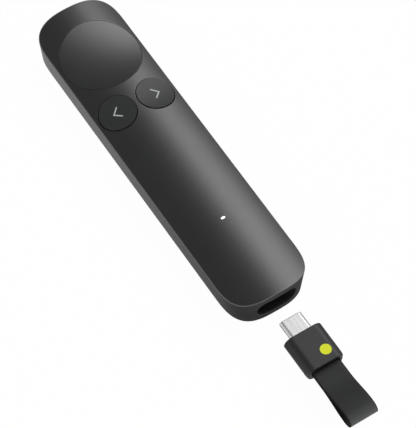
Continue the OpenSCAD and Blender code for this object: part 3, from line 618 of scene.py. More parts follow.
@dataclass(frozen=True)
class HandsetForm:
    """Plan outline, leaning walls and crowned top that both shells and the keys share."""

    length: float = 131.2
    width: float = 30.4
    rim: float = 11.7
    rise: float = 3.3
    pad_end: float = 14.2
    pad_power: float = 3.4
    bay_end: float = 15.1
    bay_power: float = 3.0
    pad_lean: float = 0.08
    bay_lean: float = 0.1
    end_lean: float = 0.04
    bottom_r: float = 2.5
    rounds: int = 16

    @property
    def half(self) -> float:
        """Half the width across the rims."""
        return self.width / 2

    @property
    def y_tips(self) -> Pair:
        """Ends of the outline at rim height, bay end first."""
        tip = self.length / 2 - self.end_lean * self.rise
        return -tip, tip

    @property
    def y_bends(self) -> Pair:
        """Places where the straight sides end, bay end first."""
        return self.y_tips[0] + self.bay_end, self.y_tips[1] - self.pad_end

    def crown(self, x: Array | float, drop: float = 0) -> Array:
        """Height of the crown at x, or of a surface drop below it: a cylinder along y."""
        radius = (self.half ** 2 + self.rise ** 2) / (2 * self.rise)
        return self.rim + self.rise - radius + np.sqrt((radius - drop) ** 2 - x ** 2)

    def depth(self, y: Array, normal: Array, z: Array | float) -> Array:
        """How far the lean takes the wall inwards between a height and the rim.

        The long walls' lean is blended from end to end, and turns into the ends' lean with the
        squares of the normal's parts.

        Args:
            y: Places along the handset.
            normal: The outline's normals there.
            z: Heights.

        Returns:
            The distances.
        """
        low, high = self.y_tips
        side = self.bay_lean + (self.pad_lean - self.bay_lean) * (y - low) / (high - low)
        lean = side * normal[..., 0] ** 2 + self.end_lean * normal[..., 1] ** 2
        return lean * (self.rim - np.maximum(z, self.bottom_r))

    def bay_curve(self, x: Array) -> tuple[Array, Array]:
        """Outline of the bay end at rim height: a superellipse |x/a|^p + |v/b|^p = 1.

        Args:
            x: Distances from the centre line, below half the width.

        Returns:
            The points' y, and their outward normals, shape (n, 2).
        """
        share = np.clip(np.abs(x) / self.half, 0, 1)
        reach = (1 - share ** self.bay_power) ** (1 / self.bay_power)
        slope = np.stack([np.sign(x) * share ** (self.bay_power - 1) / self.half,
                          -reach ** (self.bay_power - 1) / self.bay_end], -1)
        return self.y_bends[0] - self.bay_end * reach, unit(slope)

    def bay_face(self, x: Array, z: Array) -> Array:
        """The y of the bay end's outer face, found by undoing the lean in steps.

        Args:
            x: Distances from the centre line.
            z: Heights.

        Returns:
            The face's y at each point.
        """
        on_rim = np.array(x, float)
        for _ in range(self.rounds):
            y, normal = self.bay_curve(on_rim)
            depth = self.depth(y, normal, z)
            on_rim = x + normal[..., 0] * depth
        return y - normal[..., 1] * depth


@dataclass
class HalfPath:
    """Right half of the plan outline, from the bay end's tip to the pad end's tip."""

    form: HandsetForm
    mouth_x: float
    stations: Array
    mouth: int = 12
    end_steps: int = 34

    def __post_init__(self) -> None:
        """Works out the points, their normals and the place of the bend among them."""
        form = self.form
        start = math.acos((self.mouth_x / form.half) ** (form.bay_power / 2))
        turn = np.linspace(start, 0, self.end_steps)[1:]
        bay_x = np.concatenate([np.linspace(0, self.mouth_x, self.mouth + 1),
                                form.half * np.cos(turn) ** (2 / form.bay_power)])
        bay_y, bay_normal = form.bay_curve(bay_x)
        share = ways(np.linspace(0, math.pi / 2, self.end_steps)).clip(0)
        pad = share ** (2 / form.pad_power) * [form.half, form.pad_end] + [0, form.y_bends[1]]
        slope = share ** (2 - 2 / form.pad_power) / [form.half, form.pad_end]
        side = np.column_stack([np.full(len(self.stations), form.half), self.stations])
        self.points = np.concatenate([np.column_stack([bay_x, bay_y]), side, pad])
        self.normals = np.concatenate([bay_normal, np.tile([1.0, 0.0], (len(side), 1)), unit(slope)])
        self.bend = len(bay_x) - 1

    def at(self, y: float) -> int:
        """Index of the point on the straight side at y."""
        return self.bend + 1 + int(np.argmin(np.abs(self.stations - y)))

    def wall(self, inset: float, z: Array | float) -> Array:
        """Points of the wall at a height: the path moved inwards by inset and by the lean."""
        depth = inset + self.form.depth(self.points[:, 1], self.normals, z)
        return level(self.points - self.normals * depth[:, None], z)

    def rim_edge(self, inset: float, drop: float) -> Array:
        """Points where a wall meets a crown, found by stepping between the two.

        Args:
            inset: Distance of the wall inside the outer one.
            drop: Distance of the crown below the outer one.

        Returns:
            Points, shape (n, 3).
        """
        z = np.full(len(self.points), self.form.rim)
        for _ in range(self.form.rounds):
            z = self.form.crown(self.wall(inset, z)[:, 0], drop)
        return self.wall(inset, z)


@dataclass(frozen=True)
class Skin:
    """One of the upper housing's two surfaces, the outer or the inner one."""

    outer: bool
    inset: float = 0
    drop: float = 0
    y_low: float = -math.inf

    def lay(self, points: Array) -> Array:
        """Keeps points above a lowest y, clear of the bay's thick end wall."""
        return np.maximum(points, np.array([-np.inf, self.y_low, -np.inf])[:points.shape[-1]])


@dataclass
class UpperHousing:
    """Crowned shell with holes for the pad, the two keys and the light, and the bay's mouth.

    The shares say how far a grid's rows lie from a hole towards the border around it.
    """

    form: HandsetForm
    wall_t: float = 1.4
    roof_t: float = 1.6
    edge: float = 0.32
    edge_steps: int = 5
    hold: float = 1.6
    # Mark of the rim rows that get the painted highlight.
    painted_rim_highlight: float = -1.0
    hole_edge: float = 0.08
    hole_steps: int = 3
    hole_shares: tuple[float, ...] = (0.06, 0.16, 0.3, 0.46, 0.64, 0.82, 1.0)
    seam_z: float = 2.9
    seam_groove: float = 0.05
    groove_slope: float = 0.01
    wall_rows: int = 8
    pad_gap: float = 0.1
    key_gap: float = 0.25
    key_room: float = 0.8
    light_size: Pair = (1.6, 0.8)
    light_room: float = 1.8
    light_shares: tuple[float, ...] = (0, 0.12, 0.35, 0.65, 1)
    light_column: int = 4
    mouth_size: Pair = (14.6, 6.94)
    mouth_z: float = 8.2
    mouth_x: float = 9.5
    mouth_edge: float = 0.35
    # Rows from the mouth that take the painted shade, and the rows over which it fades.
    mouth_fade: Pair = (4.5, 1.5)
    mouth_shares: tuple[float, ...] = (0.1, 0.3, 0.6)
    bulkhead: float = 3.6
    columns: int = 20
    pitch: float = 1.6

    def __post_init__(self) -> None:
        """Sets out the bands of the roof along the handset, each around one feature."""
        pad, key, light = (node_centre(name) for name in ("pointer_key", "next_key", "light_pipe"))
        self.pad = (0, pad[1]), np.ptp(node_box("pointer_key")[:, 0]) / 2 + self.pad_gap
        self.key = key[:2], KEY_RADIUS + self.key_gap
        self.light_y = light[1]
        key_r, pad_r = self.key[1], self.pad[1]
        self.bands = (light[1] - self.light_room, light[1] + self.light_room,
                      key[1] - key_r - self.key_room, (key[1] + key_r + pad[1] - pad_r) / 2)
        knots = [self.form.y_bends[0], *self.bands, self.form.y_bends[1]]
        spans = [np.linspace(a, b, max(2, round((b - a) / self.pitch) + 1))[1:]
                 for a, b in zip(knots, knots[1:])]
        self.path = HalfPath(self.form, self.mouth_x, np.concatenate(spans)[:-1])
        self.y_bulkhead = self.form.bay_face(np.zeros(1), np.full(1, self.mouth_z))[0] + self.bulkhead

    def on_roof(self, skin: Skin, plan: Array) -> Array:
        """Lifts plan points, shape (..., 2), onto the skin's crown."""
        return np.concatenate([plan, self.form.crown(plan[..., :1], skin.drop)], -1)

    def on_end(self, face: Array) -> Array:
        """Puts points of x and z onto the bay end's face, which steps in at the seam's groove."""
        groove = self.seam_groove * (face[:, 1] < self.seam_z + self.seam_groove)
        return np.insert(face, 1, self.form.bay_face(*face.T) + groove, axis=1)

    def rim_rows(self, skin: Skin) -> tuple[list[Array], Array]:
        """Rows of the wall from the seam to the rounded rim, and the roof's border inside it.

        Args:
            skin: The surface.

        Returns:
            The rows, and the plan of the roof's border.
        """
        path = self.path
        corner = path.rim_edge(skin.inset, skin.drop)
        reaches = (self.edge, self.edge * self.hold)
        before, top = (path.wall(skin.inset, corner[:, 2] - reach) for reach in reaches)
        inside, border = (skin.lay(corner[:, :2] - path.normals * reach) for reach in reaches)
        groove = self.seam_groove if skin.outer else 0
        foot = path.wall(skin.inset + groove, self.seam_z)
        above = path.wall(skin.inset, self.seam_z + groove + self.groove_slope)
        rows = [foot, *between(above, top, np.linspace(0, 1, self.wall_rows + 1))]
        rows += bezier(before, corner, self.on_roof(skin, inside), self.edge_steps)
        return [skin.lay(row) for row in [*rows, self.on_roof(skin, border)]], border

    def around_hole(self, skin: Skin, hole: tuple[Array, float], border: Array) -> Array:
        """Grid from a round hole to a border around it, along rays from the hole's centre.

        Args:
            skin: The surface. The outer one's holes have a rounded edge.
            hole: The hole's centre in plan, and its radius.
            border: Plan points of the border.

        Returns:
            The grid, whose first row is the hole's bore.
        """
        centre, radius = hole
        way = unit(border - centre)
        corner = self.on_roof(skin, centre + way * radius)
        start = centre + way * (radius + self.hole_edge * skin.outer)
        lip = [corner]
        if skin.outer:
            lip = bezier(corner - [0, 0, self.hole_edge], corner, self.on_roof(skin, start), self.hole_steps)
        return np.concatenate([lip, self.on_roof(skin, between(start, border, self.hole_shares))])

    def mouth_rows(self, skin: Skin, rows: list[Array]) -> Array:
        """Grid of the bay end from the mouth to the band around it.

        Args:
            skin: The surface.
            rows: The wall's rows, from the seam upwards.

        Returns:
            The grid, whose first row is the mouth's inner ring.
        """
        last = self.path.mouth
        band = np.concatenate([rows[0][:last], [row[last] for row in rows], rows[-1][:last][::-1]])
        border = band[:, [0, 2]]
        inner, grown = (
            half_stadium(*np.add(self.mouth_size, grow), last, len(rows) - 1, last) + [0, self.mouth_z]
            for grow in (0, 2 * self.mouth_edge)
        )
        if not skin.outer:
            return np.insert(between(inner, border, (0, 0.5, 1)), 1, self.y_bulkhead, axis=-1)
        corner = self.on_end(inner)
        grid = bezier(corner + [0, self.mouth_edge, 0], corner, self.on_end(grown), self.edge_steps)
        grid += [self.on_end(row) for row in between(grown, border, self.mouth_shares)]
        return np.array([*grid, band])

    def skin_rings(self, work: Patchwork, skin: Skin) -> dict[str, Array]:
        """Adds one whole surface to the patchwork.

        The roof's net has the border's points times the columns' shares of their x. The key's
        and the pad's borders run along it, round their holes.

        Args:
            work: The patchwork.
            skin: The surface.

        Returns:
            The edges that the other surface is joined to.
        """
        rows, border = self.rim_rows(skin)
        top, mouth = self.wall_rows + 2, self.path.mouth
        number = np.arange(len(rows))
        # The rounded rim's rows get the painted highlight's mark.
        rim = np.where((number > top) & (number < len(rows) - 2), self.painted_rim_highlight, 0)
        work.add([row[mouth:] for row in rows], mark=rim)
        work.add([row[:mouth + 1] for row in rows[top - 1:]], mark=rim[top - 1:])
        mouth_grid = self.mouth_rows(skin, rows[:top])
        # The mouth's first rows get painted shade, fading out over the next rows.
        last, span = self.mouth_fade
        work.add(mouth_grid, mark=np.clip((last - np.arange(len(mouth_grid))) / span, 0, 1))

        share = np.arange(self.columns + 1) / self.columns
        net = np.stack([border[:, :1] * share, np.repeat(border[:, 1:], len(share), 1)], -1)
        bend, column = self.path.bend, self.light_column
        light_low, light_high, key_low, key_high = (self.path.at(y) for y in self.bands)
        work.add(self.on_roof(skin, net[bend:light_low + 1]))
        work.add(self.on_roof(skin, net[light_low:light_high + 1, column:]))
        outer = np.concatenate([net[light_low, :column], net[light_low:light_high + 1, column],
                                net[light_high, column - 1::-1]])
        inner = half_stadium(*self.light_size, column, light_high - light_low, column) + [0, self.light_y]
        light = self.on_roof(skin, between(inner, outer, self.light_shares))
        work.add(light)
        work.add(self.on_roof(skin, net[light_high:key_low + 1]))
        key_border = np.concatenate([net[key_low], border[key_low + 1:key_high],
                                     net[key_high, ::-1], net[key_low:key_high, 0][::-1]])
        key_grid = self.around_hole(skin, self.key, key_border)
        pad_border = np.concatenate([net[key_high], border[key_high + 1:]])
        pad_grid = self.around_hole(skin, self.pad, pad_border)
        work.add(key_grid).add(pad_grid)
        centre = np.array([0, border[bend, 1]])
        work.add(self.on_roof(skin, between(centre, border[:bend + 1], share)))
        return {"mouth": mouth_grid[0], "light": light[0], "key": key_grid[0], "pad": pad_grid[0],
                "foot": rows[0]}

    def build(self) -> Piece:
        """Joins the outer and inner surfaces by the holes' bores and the seam's face.

        Returns:
            The upper housing.
        """
        work = Patchwork()
        outer = self.skin_rings(work, Skin(True))
        inner = self.skin_rings(work, Skin(False, self.wall_t, self.roof_t, self.y_bulkhead))
        for name in outer:
            # The mouth's bore between the two skins gets the painted shade too.
            work.add([outer[name], inner[name]], mark=name == "mouth")
        return work.mirror().build("upper_housing_shell")


@dataclass
class BottomCover:
    """Flat floor with rounded edges, a recess for the plain strip, and a lip inside the walls."""

    path: HalfPath
    y_bulkhead: float
    recess: Pair = (10.06, 100.06)
    recess_depth: float = 0.4
    floor_t: float = 1.5
    round_steps: int = 8
    seam_z: float = 2.9
    seam_groove: float = 0.04
    lip: Pair = (1.5, 2.3)
    lip_z: float = 3.9
    lip_gap: float = 0.05

    def build(self) -> Piece:
        """Carries the cover's profile along the outline, from the recess round to the inner floor.

        Returns:
            The bottom cover.
        """
        path, points, bottom_r = self.path, self.path.points, self.path.form.bottom_r
        radius = self.recess[0] / 2
        reach = self.recess[1] / 2 - radius
        spine = np.column_stack([np.zeros(len(points)), points[:, 1].clip(-reach, reach)])
        edge = spine + unit(points - spine) * radius
        rows = [level(spine, self.recess_depth), level(edge, self.recess_depth), level(edge, 0)]
        for up, across in 1 - ways(np.linspace(0, math.pi / 2, self.round_steps + 1)):
            rows.append(path.wall(bottom_r * across, bottom_r * up))
        groove = self.seam_groove
        rows += [path.wall(0, self.seam_z - groove), path.wall(groove, self.seam_z)]
        skin = Skin(False, y_low=self.y_bulkhead + self.lip_gap)
        outer, inner = (skin.lay(path.wall(inset, self.seam_z)) for inset in self.lip)
        rows += [outer, level(outer, self.lip_z), level(inner, self.lip_z), level(inner, self.floor_t),
                 level(spine, self.floor_t)]
        return Patchwork().add(rows).mirror().build("bottom_cover_shell")


# ---------- keys ----------


@dataclass
class RoundKey:
    """Round key whose face sinks into a shallow dish below the crown."""

    form: HandsetForm
    centre: Array
    radius: float
    dish: float
    proud: float
    skirt: float
    edge: float = 0.06
    edge_steps: int = 3
    skirt_z: float = 10.8
    ceiling: float = 11.6
    columns: int = 128
    rings: int = 20
    last_rings: Pair = (0.96, 0.985)

    def face(self, plan: Array) -> Array:
        """Height of the face: the raised crown less dish times one minus the squared share of the radius."""
        share = ((plan - self.centre[:2]) ** 2).sum(axis=1) / self.radius ** 2
        return self.form.crown(plan[:, 0]) + self.proud - self.dish * (1 - share)

    def ring(self, radius: float, z: float | None = None) -> Array:
        """Circle of points around the key's centre, on the face or at a height."""
        plan = self.centre[:2] + radius * circle(self.columns)
        return level(plan, self.face(plan) if z is None else z)

    def build(self, name: str) -> Piece:
        """Turns the key's section: face, rounded edge, skirt and the pocket over the switch.

        Args:
            name: Name of the piece.

        Returns:
            The key.
        """
        flat, last = self.last_rings
        rows = [self.ring(share * self.radius) for share in (*np.linspace(0, flat, self.rings), last)]
        corner = self.ring(self.radius)
        rows += bezier(self.ring(self.radius - self.edge), corner, corner - [0, 0, self.edge],
                       self.edge_steps)
        pocket = self.radius - self.skirt
        rows += [corner - [0, 0, 3 * self.edge], self.ring(self.radius, self.skirt_z),
                 self.ring(pocket, self.skirt_z), self.ring(pocket, self.ceiling),
                 self.ring(0, self.ceiling)]
        return Patchwork().add(rows, loop=True).build(name)


@dataclass
class ArrowMark:
    """Mitred arrow with square ends, let into a small key's face."""

    key: RoundKey
    centre: Array
    way: int
    size: Pair = (2.2, 4.1)
    stroke: float = 0.45
    proud: float = 0.02
    depth: float = 0.3
    points: int = 25

    def build(self, name: str) -> Piece:
        """Carries the stroke's section along both arms, lying on the key's face.

        Args:
            name: Name of the piece.

        Returns:
            The mark.
        """
        width, height = self.size
        slope = math.atan2(height / 2, width)
        run = np.linspace(-1, 1, self.points)
        middle = np.column_stack([width / 2 - np.abs(run) * width, run * height / 2])
        across = np.column_stack([np.full(len(run), math.sin(slope)), np.sign(run) * math.cos(slope)])
        across[run == 0] = [1 / math.sin(slope), 0]
        inner, outer = (self.centre[:2] + (middle + side * self.stroke / 2 * across) * [self.way, 1]
                        for side in (-1, 1))
        corners = ((inner, -self.depth), (inner, self.proud), (outer, self.proud), (outer, -self.depth))
        rows = np.stack([level(plan, self.key.face(plan) + lift) for plan, lift in corners], 1)
        work = Patchwork().add(rows, loop=True)
        for end in (rows[0], rows[-1]):
            work.add([end[:2], end[:1:-1]])
        return work.build(name)


@dataclass
class LightWindow:
    """Small domed window of the status light."""

    form: HandsetForm
    centre: Array
    size: Pair = (1.56, 0.76)
    dome: float = 0.08
    sink: float = 0.02
    depth: float = 1.2
    dimming: float = 4
    spans: int = 8

    def build(self) -> Piece:
        """Domes a stadium: height falls with the square of the share of its outline.

        Returns:
            The window.
        """
        outline = stadium_loop(*self.size, self.spans)
        shares = np.linspace(0, 1, self.spans + 1)
        rows = []
        for share in shares:
            z = self.form.crown(outline[:, 0] * share) - self.sink + self.dome * (1 - share ** 2)
            rows.append(level(outline * share + self.centre[:2], z))
        foot = self.form.crown(0) - self.sink - self.depth
        rows += [level(rows[-1], foot), level(rows[0], foot)]
        marks = np.append(shares, (1, 1)) ** self.dimming
        return Patchwork().add(rows, loop=True, mark=marks).build("light_window")


# ---------- receiver ----------


@dataclass
class ReceiverPart:
    """What the receiver's parts share: its places along y at rest, and its axis height."""

    z: float = 8.2
    y_tip: float = -72.3
    y_front: float = -79.4
    y_root: float = -81.9
    y_rear: float = -92.9

    def stand(self, section: Array, y: float) -> Array:
        """Stands a section of x and height above the axis at y."""
        return np.insert(section + [0, self.z], 1, y, axis=1)


@dataclass
class ReceiverShell(ReceiverPart):
    """Stadium-shaped housing with round rear corners and a mouth for the strap."""

    size: Pair = (14.1, 6.1)
    room: Pair = (12.3, 4.3)
    corner: float = 1.4
    fillet: float = 0.3
    edge: float = 0.12
    edge_steps: int = 3
    rear_wall: float = 1.6
    mouth: Pair = (10.8, 3.05)
    mouth_rise: float = 0.625
    mouth_powers: Pair = (4.5, 12)
    mouth_edge: float = 0.1
    throat: float = 0.4
    soften: float = 0.2
    soften_rate: float = 4
    spans: int = 20
    side_rows: int = 12
    side_end: float = 1.2
    corner_rows: int = 16
    face_shares: Pair = (0.1, 0.5)

    def section(self, depth: float) -> Array:
        """Section at a depth from the rear face.

        The sides follow the corners' circle and the top and bottom a smaller fillet. The smooth
        minimum of the stadium's x and the corner's x, (a + b - sqrt((a - b)^2 + w^2)) / 2, rounds
        the edge between them.

        Args:
            depth: Distance in front of the rear face.

        Returns:
            Points of x and height above the axis.
        """
        width, height = self.size
        outline = stadium_loop(width, height, self.spans)
        sides, top = (radius - math.sqrt(radius ** 2 - max(radius - depth, 0) ** 2)
                      for radius in (self.corner, self.fillet))
        limit = width / 2 - sides
        soften = self.soften * min(1, max(self.corner - depth, 0) * self.soften_rate)
        x = np.abs(outline[:, 0])
        x = (x + limit - np.sqrt((x - limit) ** 2 + soften ** 2)) / 2
        return np.column_stack([x * np.sign(outline[:, 0]), outline[:, 1] * (1 - 2 * top / height)])

    def mouth_loop(self, grow: float) -> Array:
        """Mouth's outline on the outer section's columns: a superellipse along rays from its middle.

        Its upper half has rounder corners than its lower half, which the tape fills.

        Args:
            grow: How far it lies outside the mouth's size.

        Returns:
            Points of x and height above the axis.
        """
        way = unit(stadium_loop(*self.size, self.spans) - [0, self.mouth_rise])
        power = np.where(way[:, 1] > 0, *self.mouth_powers)[:, None]
        shares = np.abs(way / (np.array(self.mouth) / 2 + grow)) ** power
        return way * shares.sum(axis=1, keepdims=True) ** (-1 / power) + [0, self.mouth_rise]

    def build(self) -> Piece:
        """Carries the section from the front over the rear face, through the mouth and back inside.

        Returns:
            The housing.
        """
        stand, edge, front, rear = self.stand, self.edge, self.y_front, self.y_rear
        grown, shrunk = (stadium_loop(*np.subtract(self.size, 2 * less), self.spans) for less in (0, edge))
        rows = bezier(stand(shrunk, front), stand(grown, front), stand(grown, front - edge), self.edge_steps)
        turn = np.linspace(0, math.pi / 2, self.corner_rows)
        depths = [*np.linspace(front - rear - 3 * edge, self.corner * self.side_end, self.side_rows),
                  *(self.corner * (1 - np.sin(turn)))]
        rows += [stand(self.section(depth), rear + depth) for depth in depths]
        face = rows[-1]
        lip, throat = (stand(self.mouth_loop(grow), rear) for grow in (self.mouth_edge, 0))
        rows += list(between(face, lip, self.face_shares))
        outside = len(rows)
        rows += bezier(lip, throat, throat + [0, self.mouth_edge, 0], self.edge_steps)
        rows += [throat + [0, depth, 0] for depth in (self.throat, self.rear_wall)]
        room = stadium_loop(*self.room, self.spans)
        rows += [stand(room, rear + self.rear_wall), stand(room, front), rows[0]]
        # The mouth's throat and the room inside get the painted light.
        marks = np.arange(len(rows)) > outside
        return Patchwork().add(rows, loop=True, mark=marks).build("receiver_shell_body")


@dataclass
class PlugShell(ReceiverPart):
    """Drawn tube of the plug, with a rolled lip at its tip."""

    size: Pair = (8.25, 2.4)
    wall: float = 0.3
    roll: float = 0.28
    roll_steps: int = 6
    side_rows: int = 10
    spans: int = 14

    def row(self, inset: float, y: float) -> Array:
        """Stadium section moved in by inset, at y."""
        return self.stand(stadium_loop(*np.subtract(self.size, 2 * inset), self.spans), y)

    def build(self) -> Piece:
        """Carries the stadium along the tube's section: outside, rolled lip and inside.

        Returns:
            The plug's shell.
        """
        tip, root = self.y_tip, self.y_root
        rows = [self.row(0, y) for y in np.linspace(root, tip - 2 * self.roll, self.side_rows)]
        rows += bezier(self.row(0, tip - self.roll), self.row(0, tip), self.row(self.roll, tip),
                       self.roll_steps)
        rows += [self.row(self.wall, tip), self.row(self.wall, root), rows[0]]
        return Patchwork().add(rows, loop=True).build("plug_tube")


@dataclass
class Badge(ReceiverPart):
    """Plain round enamel dot."""

    centre: Pair = (2.5, -88.7)
    radius: float = 1.9
    top: float = 3.07
    edge: float = 0.03
    depth: float = 0.25
    columns: int = 64

    def build(self) -> Piece:
        """Turns the dot's section of radii and heights around its centre.

        Returns:
            The badge.
        """
        radius, z = self.radius, self.z + self.top
        section = [(0, 0), (0.5 * radius, 0), (radius - self.edge, 0), (radius, -self.edge),
                   (radius, -self.depth), (0, -self.depth)]
        rows = [level(circle(self.columns) * reach + self.centre, z + drop) for reach, drop in section]
        return Patchwork().add(rows, loop=True).build("badge_dot")


@dataclass
class StrapLoop(ReceiverPart):
    """Woven tape that leaves the receiver, turns round at its end and comes back under itself."""

    width: float = 10.5
    thick: float = 0.55
    shaved: float = 0.01
    drop: float = 0.2
    tail: float = 4.0
    bond: float = 5.4
    reach: float = 21.2
    fold: float = 3.2
    rise: float = 2.05
    fall: float = 1.8
    edge: float = 0.18
    line_points: tuple[int, int, int] = (40, 160, 120)
    stations: int = 180
    edge_points: int = 5
    columns: int = 8

    def __post_init__(self) -> None:
        """Works out the middle line of the tape, evenly spaced, and its flat length."""
        z, y_split = self.z - self.drop, self.y_rear - self.bond
        y_bend = self.y_rear - self.reach + self.fold
        in_tail, in_span, in_fold = self.line_points
        y = np.concatenate([np.linspace(self.y_rear + self.tail, y_split, in_tail)[:-1],
                            np.linspace(y_split, y_bend, in_span)])
        blend = (1 - np.cos(math.pi * ((y_split - y) / (y_split - y_bend)).clip(0, 1))) / 2
        half = self.thick / 2
        upper = np.column_stack([y, z + half + self.rise * blend])
        lower = np.column_stack([y, z - half - self.fall * blend])[::-1]
        turn = np.linspace(0, math.pi, in_fold)[1:-1]
        size = [half - self.fold, half + (self.rise + self.fall) / 2]
        fold = [y_bend, z + (self.rise - self.fall) / 2] + size * ways(turn)[:, ::-1]
        line = np.concatenate([upper, fold, lower])
        gone = np.append(0, np.cumsum(np.linalg.norm(np.diff(line, axis=0), axis=1)))
        self.length = float(gone[-1])
        self.run = np.linspace(0, self.length, self.stations)
        self.line = np.column_stack([np.interp(self.run, gone, line[:, k]) for k in (0, 1)])
        self.normal = unit(np.gradient(self.line, axis=0))[:, ::-1] * [1, -1]

    def section(self) -> Array:
        """Rounded rectangle across the tape.

        Returns:
            A loop of x and height off the tape's middle.
        """
        half = np.array([self.width / 2, self.thick / 2 - self.shaved])
        arc = ways(np.linspace(0, math.pi / 2, self.edge_points)) * self.edge + half - self.edge
        share = np.linspace(1, -1, self.columns + 1)[1:-1, None]
        across = share * [half[0] - self.edge, 0] + [0, half[1]]
        top = np.concatenate([arc, across, arc[::-1] * [-1, 1]])
        return np.concatenate([top, -top])

    def build(self) -> Piece:
        """Carries the tape's section along its middle line and closes both ends.

        Returns:
            The strap.
        """
        section = self.section()
        plane = self.line[:, None, :] + section[None, :, 1, None] * self.normal[:, None, :]
        rows = np.insert(plane, 0, section[:, 0], axis=-1)
        work = Patchwork().add(rows, loop=True, mark=self.run)
        for end in (0, -1):
            flat = rows[end].copy()
            flat[:, 1:] = self.line[end]
            work.add([rows[end], flat], loop=True, mark=self.run[end])
        return work.build("woven_strap")


# ---------- studio ----------


def hang(name: str, data: bpy.types.ID, spot: Vector, axes: tuple) -> Piece:
    """Puts a lamp or a camera in the scene.

    Args:
        name: Name of the object.
        data: The lamp or camera.
        spot: Where it is.
        axes: Directions of its own x, y and z.

    Returns:
        The object.
    """
    holder = bpy.data.objects.new(name, data)
    holder.matrix_world = Matrix.Translation(spot) @ Matrix(axes).transposed().to_4x4()
    bpy.context.scene.collection.objects.link(holder)
    return holder


@dataclass(frozen=True)
class Softbox:
    """Rectangular lamp that faces the subject from far off."""

    name: str
    way: Triple
    distance: float
    spread: Pair
    roll: float
    glow: float

    def build(self) -> None:
        """Hangs the lamp, with its size from its spread and its power from its glow."""
        way = Vector(self.way).normalized()
        across = Vector((0, 1, 0)).cross(way).normalized()
        side = across * math.cos(self.roll) + way.cross(across) * math.sin(self.roll)
        lamp = bpy.data.lights.new(self.name, "AREA")
        lamp.shape = "RECTANGLE"
        lamp.size, lamp.size_y = (2 * self.distance * math.tan(angle) for angle in self.spread)
        lamp.energy = self.glow * math.pi * lamp.size * lamp.size_y
        hang(self.name, lamp, way * self.distance, (side, way.cross(side), way))


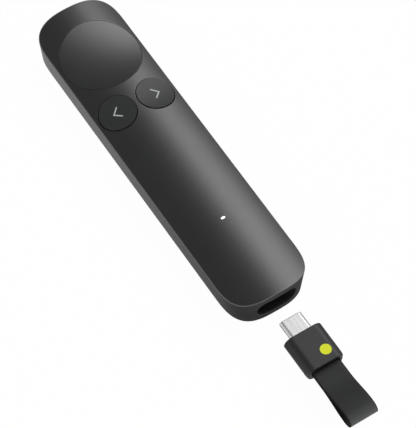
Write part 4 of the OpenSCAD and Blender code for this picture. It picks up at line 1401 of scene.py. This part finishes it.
@dataclass(frozen=True)
class Studio:
    """Pale floor, one large soft lamp, a dim room with a pale horizon, and the camera."""

    eye: Triple = (-0.2105, -0.3431, 0.6557)
    turn: Triple = (2.5209, -0.7369, 0.2102)
    lens: float = 193.03
    sensor: float = 36
    clip: Pair = (0.05, 50)
    key: Softbox = Softbox("key_softbox", (0.6033, 0.1617, 0.781), 10.0, (0.333, 0.375), -0.716, 5.3)
    room_glow: float = 0.150
    horizon: Pair = (0.15, 0.70)
    horizon_glow: float = 1.4
    horizon_dark: Triple = (0.92, 0.39, 0.0)
    horizon_turn: Pair = (-0.3, 0.6)
    floor_tone: float = 0.85
    floor_roughness: float = 0.9
    floor_reach: float = 8000
    floor_gap: float = 0.05
    floor_seen: float = 0.98
    mirror_run: Pair = (-0.1, 0.1)
    mirror_side: Pair = (-0.06, -0.03)
    floor_mirrored: tuple[Pair, ...] = (
        (-0.086, 0.8), (-0.077, 0.65), (-0.071, 0.19), (-0.062, 0.18), (-0.05, 0.31), (0.0, 0.53),
        (0.06, 0.72),
    )

    def camera(self) -> None:
        """Places the camera by its position and the rotation vector from world to lens axes."""
        data = bpy.data.cameras.new("camera")
        data.lens = self.lens
        data.sensor_width = self.sensor
        data.clip_start, data.clip_end = self.clip
        turn = Vector(self.turn)
        rows = Matrix.Rotation(turn.length, 3, turn.normalized())
        bpy.context.scene.camera = hang("camera", data, self.eye, (rows[0], -rows[1], -rows[2]))

    def floor(self) -> None:
        """Lays a large pale floor that keeps soft shadows.

        Cameras see it paler, and mirrors see a strength that changes along y and is 1 on one side.
        """
        x, y = np.meshgrid(*[np.linspace(-self.floor_reach, self.floor_reach, 3)] * 2)
        floor = Patchwork().add(np.stack([x, y, np.full_like(x, -self.floor_gap)], -1)).build("studio_floor")
        bench = NodeBench(bpy.data.materials.new("pale_floor"))
        bench.set(Socket.COLOUR, (self.floor_tone,) * 3)
        bench.set(Socket.ROUGHNESS, self.floor_roughness)
        bench.set(Socket.SPECULAR, 0.0)
        path = bench.node("LightPath").outputs
        mirrored = bench.maths("MAXIMUM", path["Is Glossy Ray"], path["Is Transmission Ray"])
        share = bench.maths("MULTIPLY_ADD", path["Is Camera Ray"], self.floor_seen, mirrored)
        ramp = bench.node("ValToRGB", bench.remap(bench.along("Object", (0, 1, 0)), self.mirror_run))
        stops = ramp.color_ramp.elements
        low, high = self.mirror_run
        for number, (place, glow) in enumerate(self.floor_mirrored):
            stop = stops[number] if number < len(stops) else stops.new(1)
            stop.position = (place - low) / (high - low)
            stop.color = (glow, glow, glow, 1)
        beside = bench.remap(bench.along("Object", (1, 0, 0)), self.mirror_side, (1, 0), smooth=True)
        paler = bench.mix(Blend.NUMBERS, beside, ramp.outputs["Color"], 1)
        glow = bench.node("Emission", Strength=bench.mix(Blend.NUMBERS, mirrored, 1, paler))
        mix = bench.node("MixShader", share, bench.shader.outputs[0], glow.outputs[0])
        bench.feed(bench.nodes["Material Output"].inputs["Surface"], mix.outputs[0])
        floor.data.materials.append(bench.owner)

    def world(self) -> None:
        """Fills the room with dim light that turns pale towards the horizon, but not on one side."""
        bench = NodeBench(bpy.data.worlds.new("studio"), "Background")
        height, facing = (bench.along("Generated", way) for way in ((0, 0, 1), self.horizon_dark))
        fade = bench.remap(height, self.horizon, (self.horizon_glow, 0), smooth=True)
        side = bench.remap(facing, self.horizon_turn, (1, 0), smooth=True)
        total = bench.maths("MULTIPLY_ADD", fade, side, self.room_glow)
        bench.feed(bench.shader.inputs["Color"], (1, 1, 1))
        bench.feed(bench.shader.inputs["Strength"], total)
        bpy.context.scene.world = bench.owner

    def build(self) -> None:
        """Sets up the floor, the world, the lamp and the camera."""
        self.floor()
        self.world()
        self.key.build()
        self.camera()
        bpy.context.scene.view_settings.view_transform = "Standard"


def main() -> None:
    """Builds and dresses every piece in order."""
    logging.basicConfig(level=logging.INFO, format="%(message)s")
    wardrobe = Wardrobe(frame["record"])
    wardrobe.dress_nodes(frame["nodes"])
    form = HandsetForm()
    upper = UpperHousing(form)
    wardrobe.fit(upper.build(), "handset", "upper_housing", "bay_end")
    wardrobe.fit(BottomCover(upper.path, upper.y_bulkhead).build(), "handset", "bottom_cover")
    pad = RoundKey(form, node_centre("pointer_key"), radius=14.0, dish=1.5, proud=0.0, skirt=1.4)
    wardrobe.fit(pad.build("pointer_dish"), "pointer_pad", "pointer_key")
    for name, way in (("back", -1), ("next", 1)):
        key = RoundKey(form, node_centre(f"{name}_key"), KEY_RADIUS, dish=0.4, proud=0.3, skirt=1.2)
        wardrobe.fit(key.build(f"{name}_button_cap"), f"{name}_button", f"{name}_key")
        mark = ArrowMark(key, node_centre(f"{name}_mark"), way)
        wardrobe.fit(mark.build(f"{name}_arrow"), f"{name}_button", f"{name}_mark")
    wardrobe.fit(LightWindow(form, node_centre("light_pipe")).build(), "handset", "light_pipe")
    wardrobe.fit(ReceiverShell().build(), "receiver", "receiver_shell")
    wardrobe.fit(PlugShell().build(), "receiver", "plug_shell")
    wardrobe.fit(Badge().build(), "receiver", "receiver_badge")
    strap = StrapLoop()
    tape = wardrobe.fit(strap.build(), "receiver", "strap_loop")
    Studio().build()


if __name__ == "__main__":
    main()
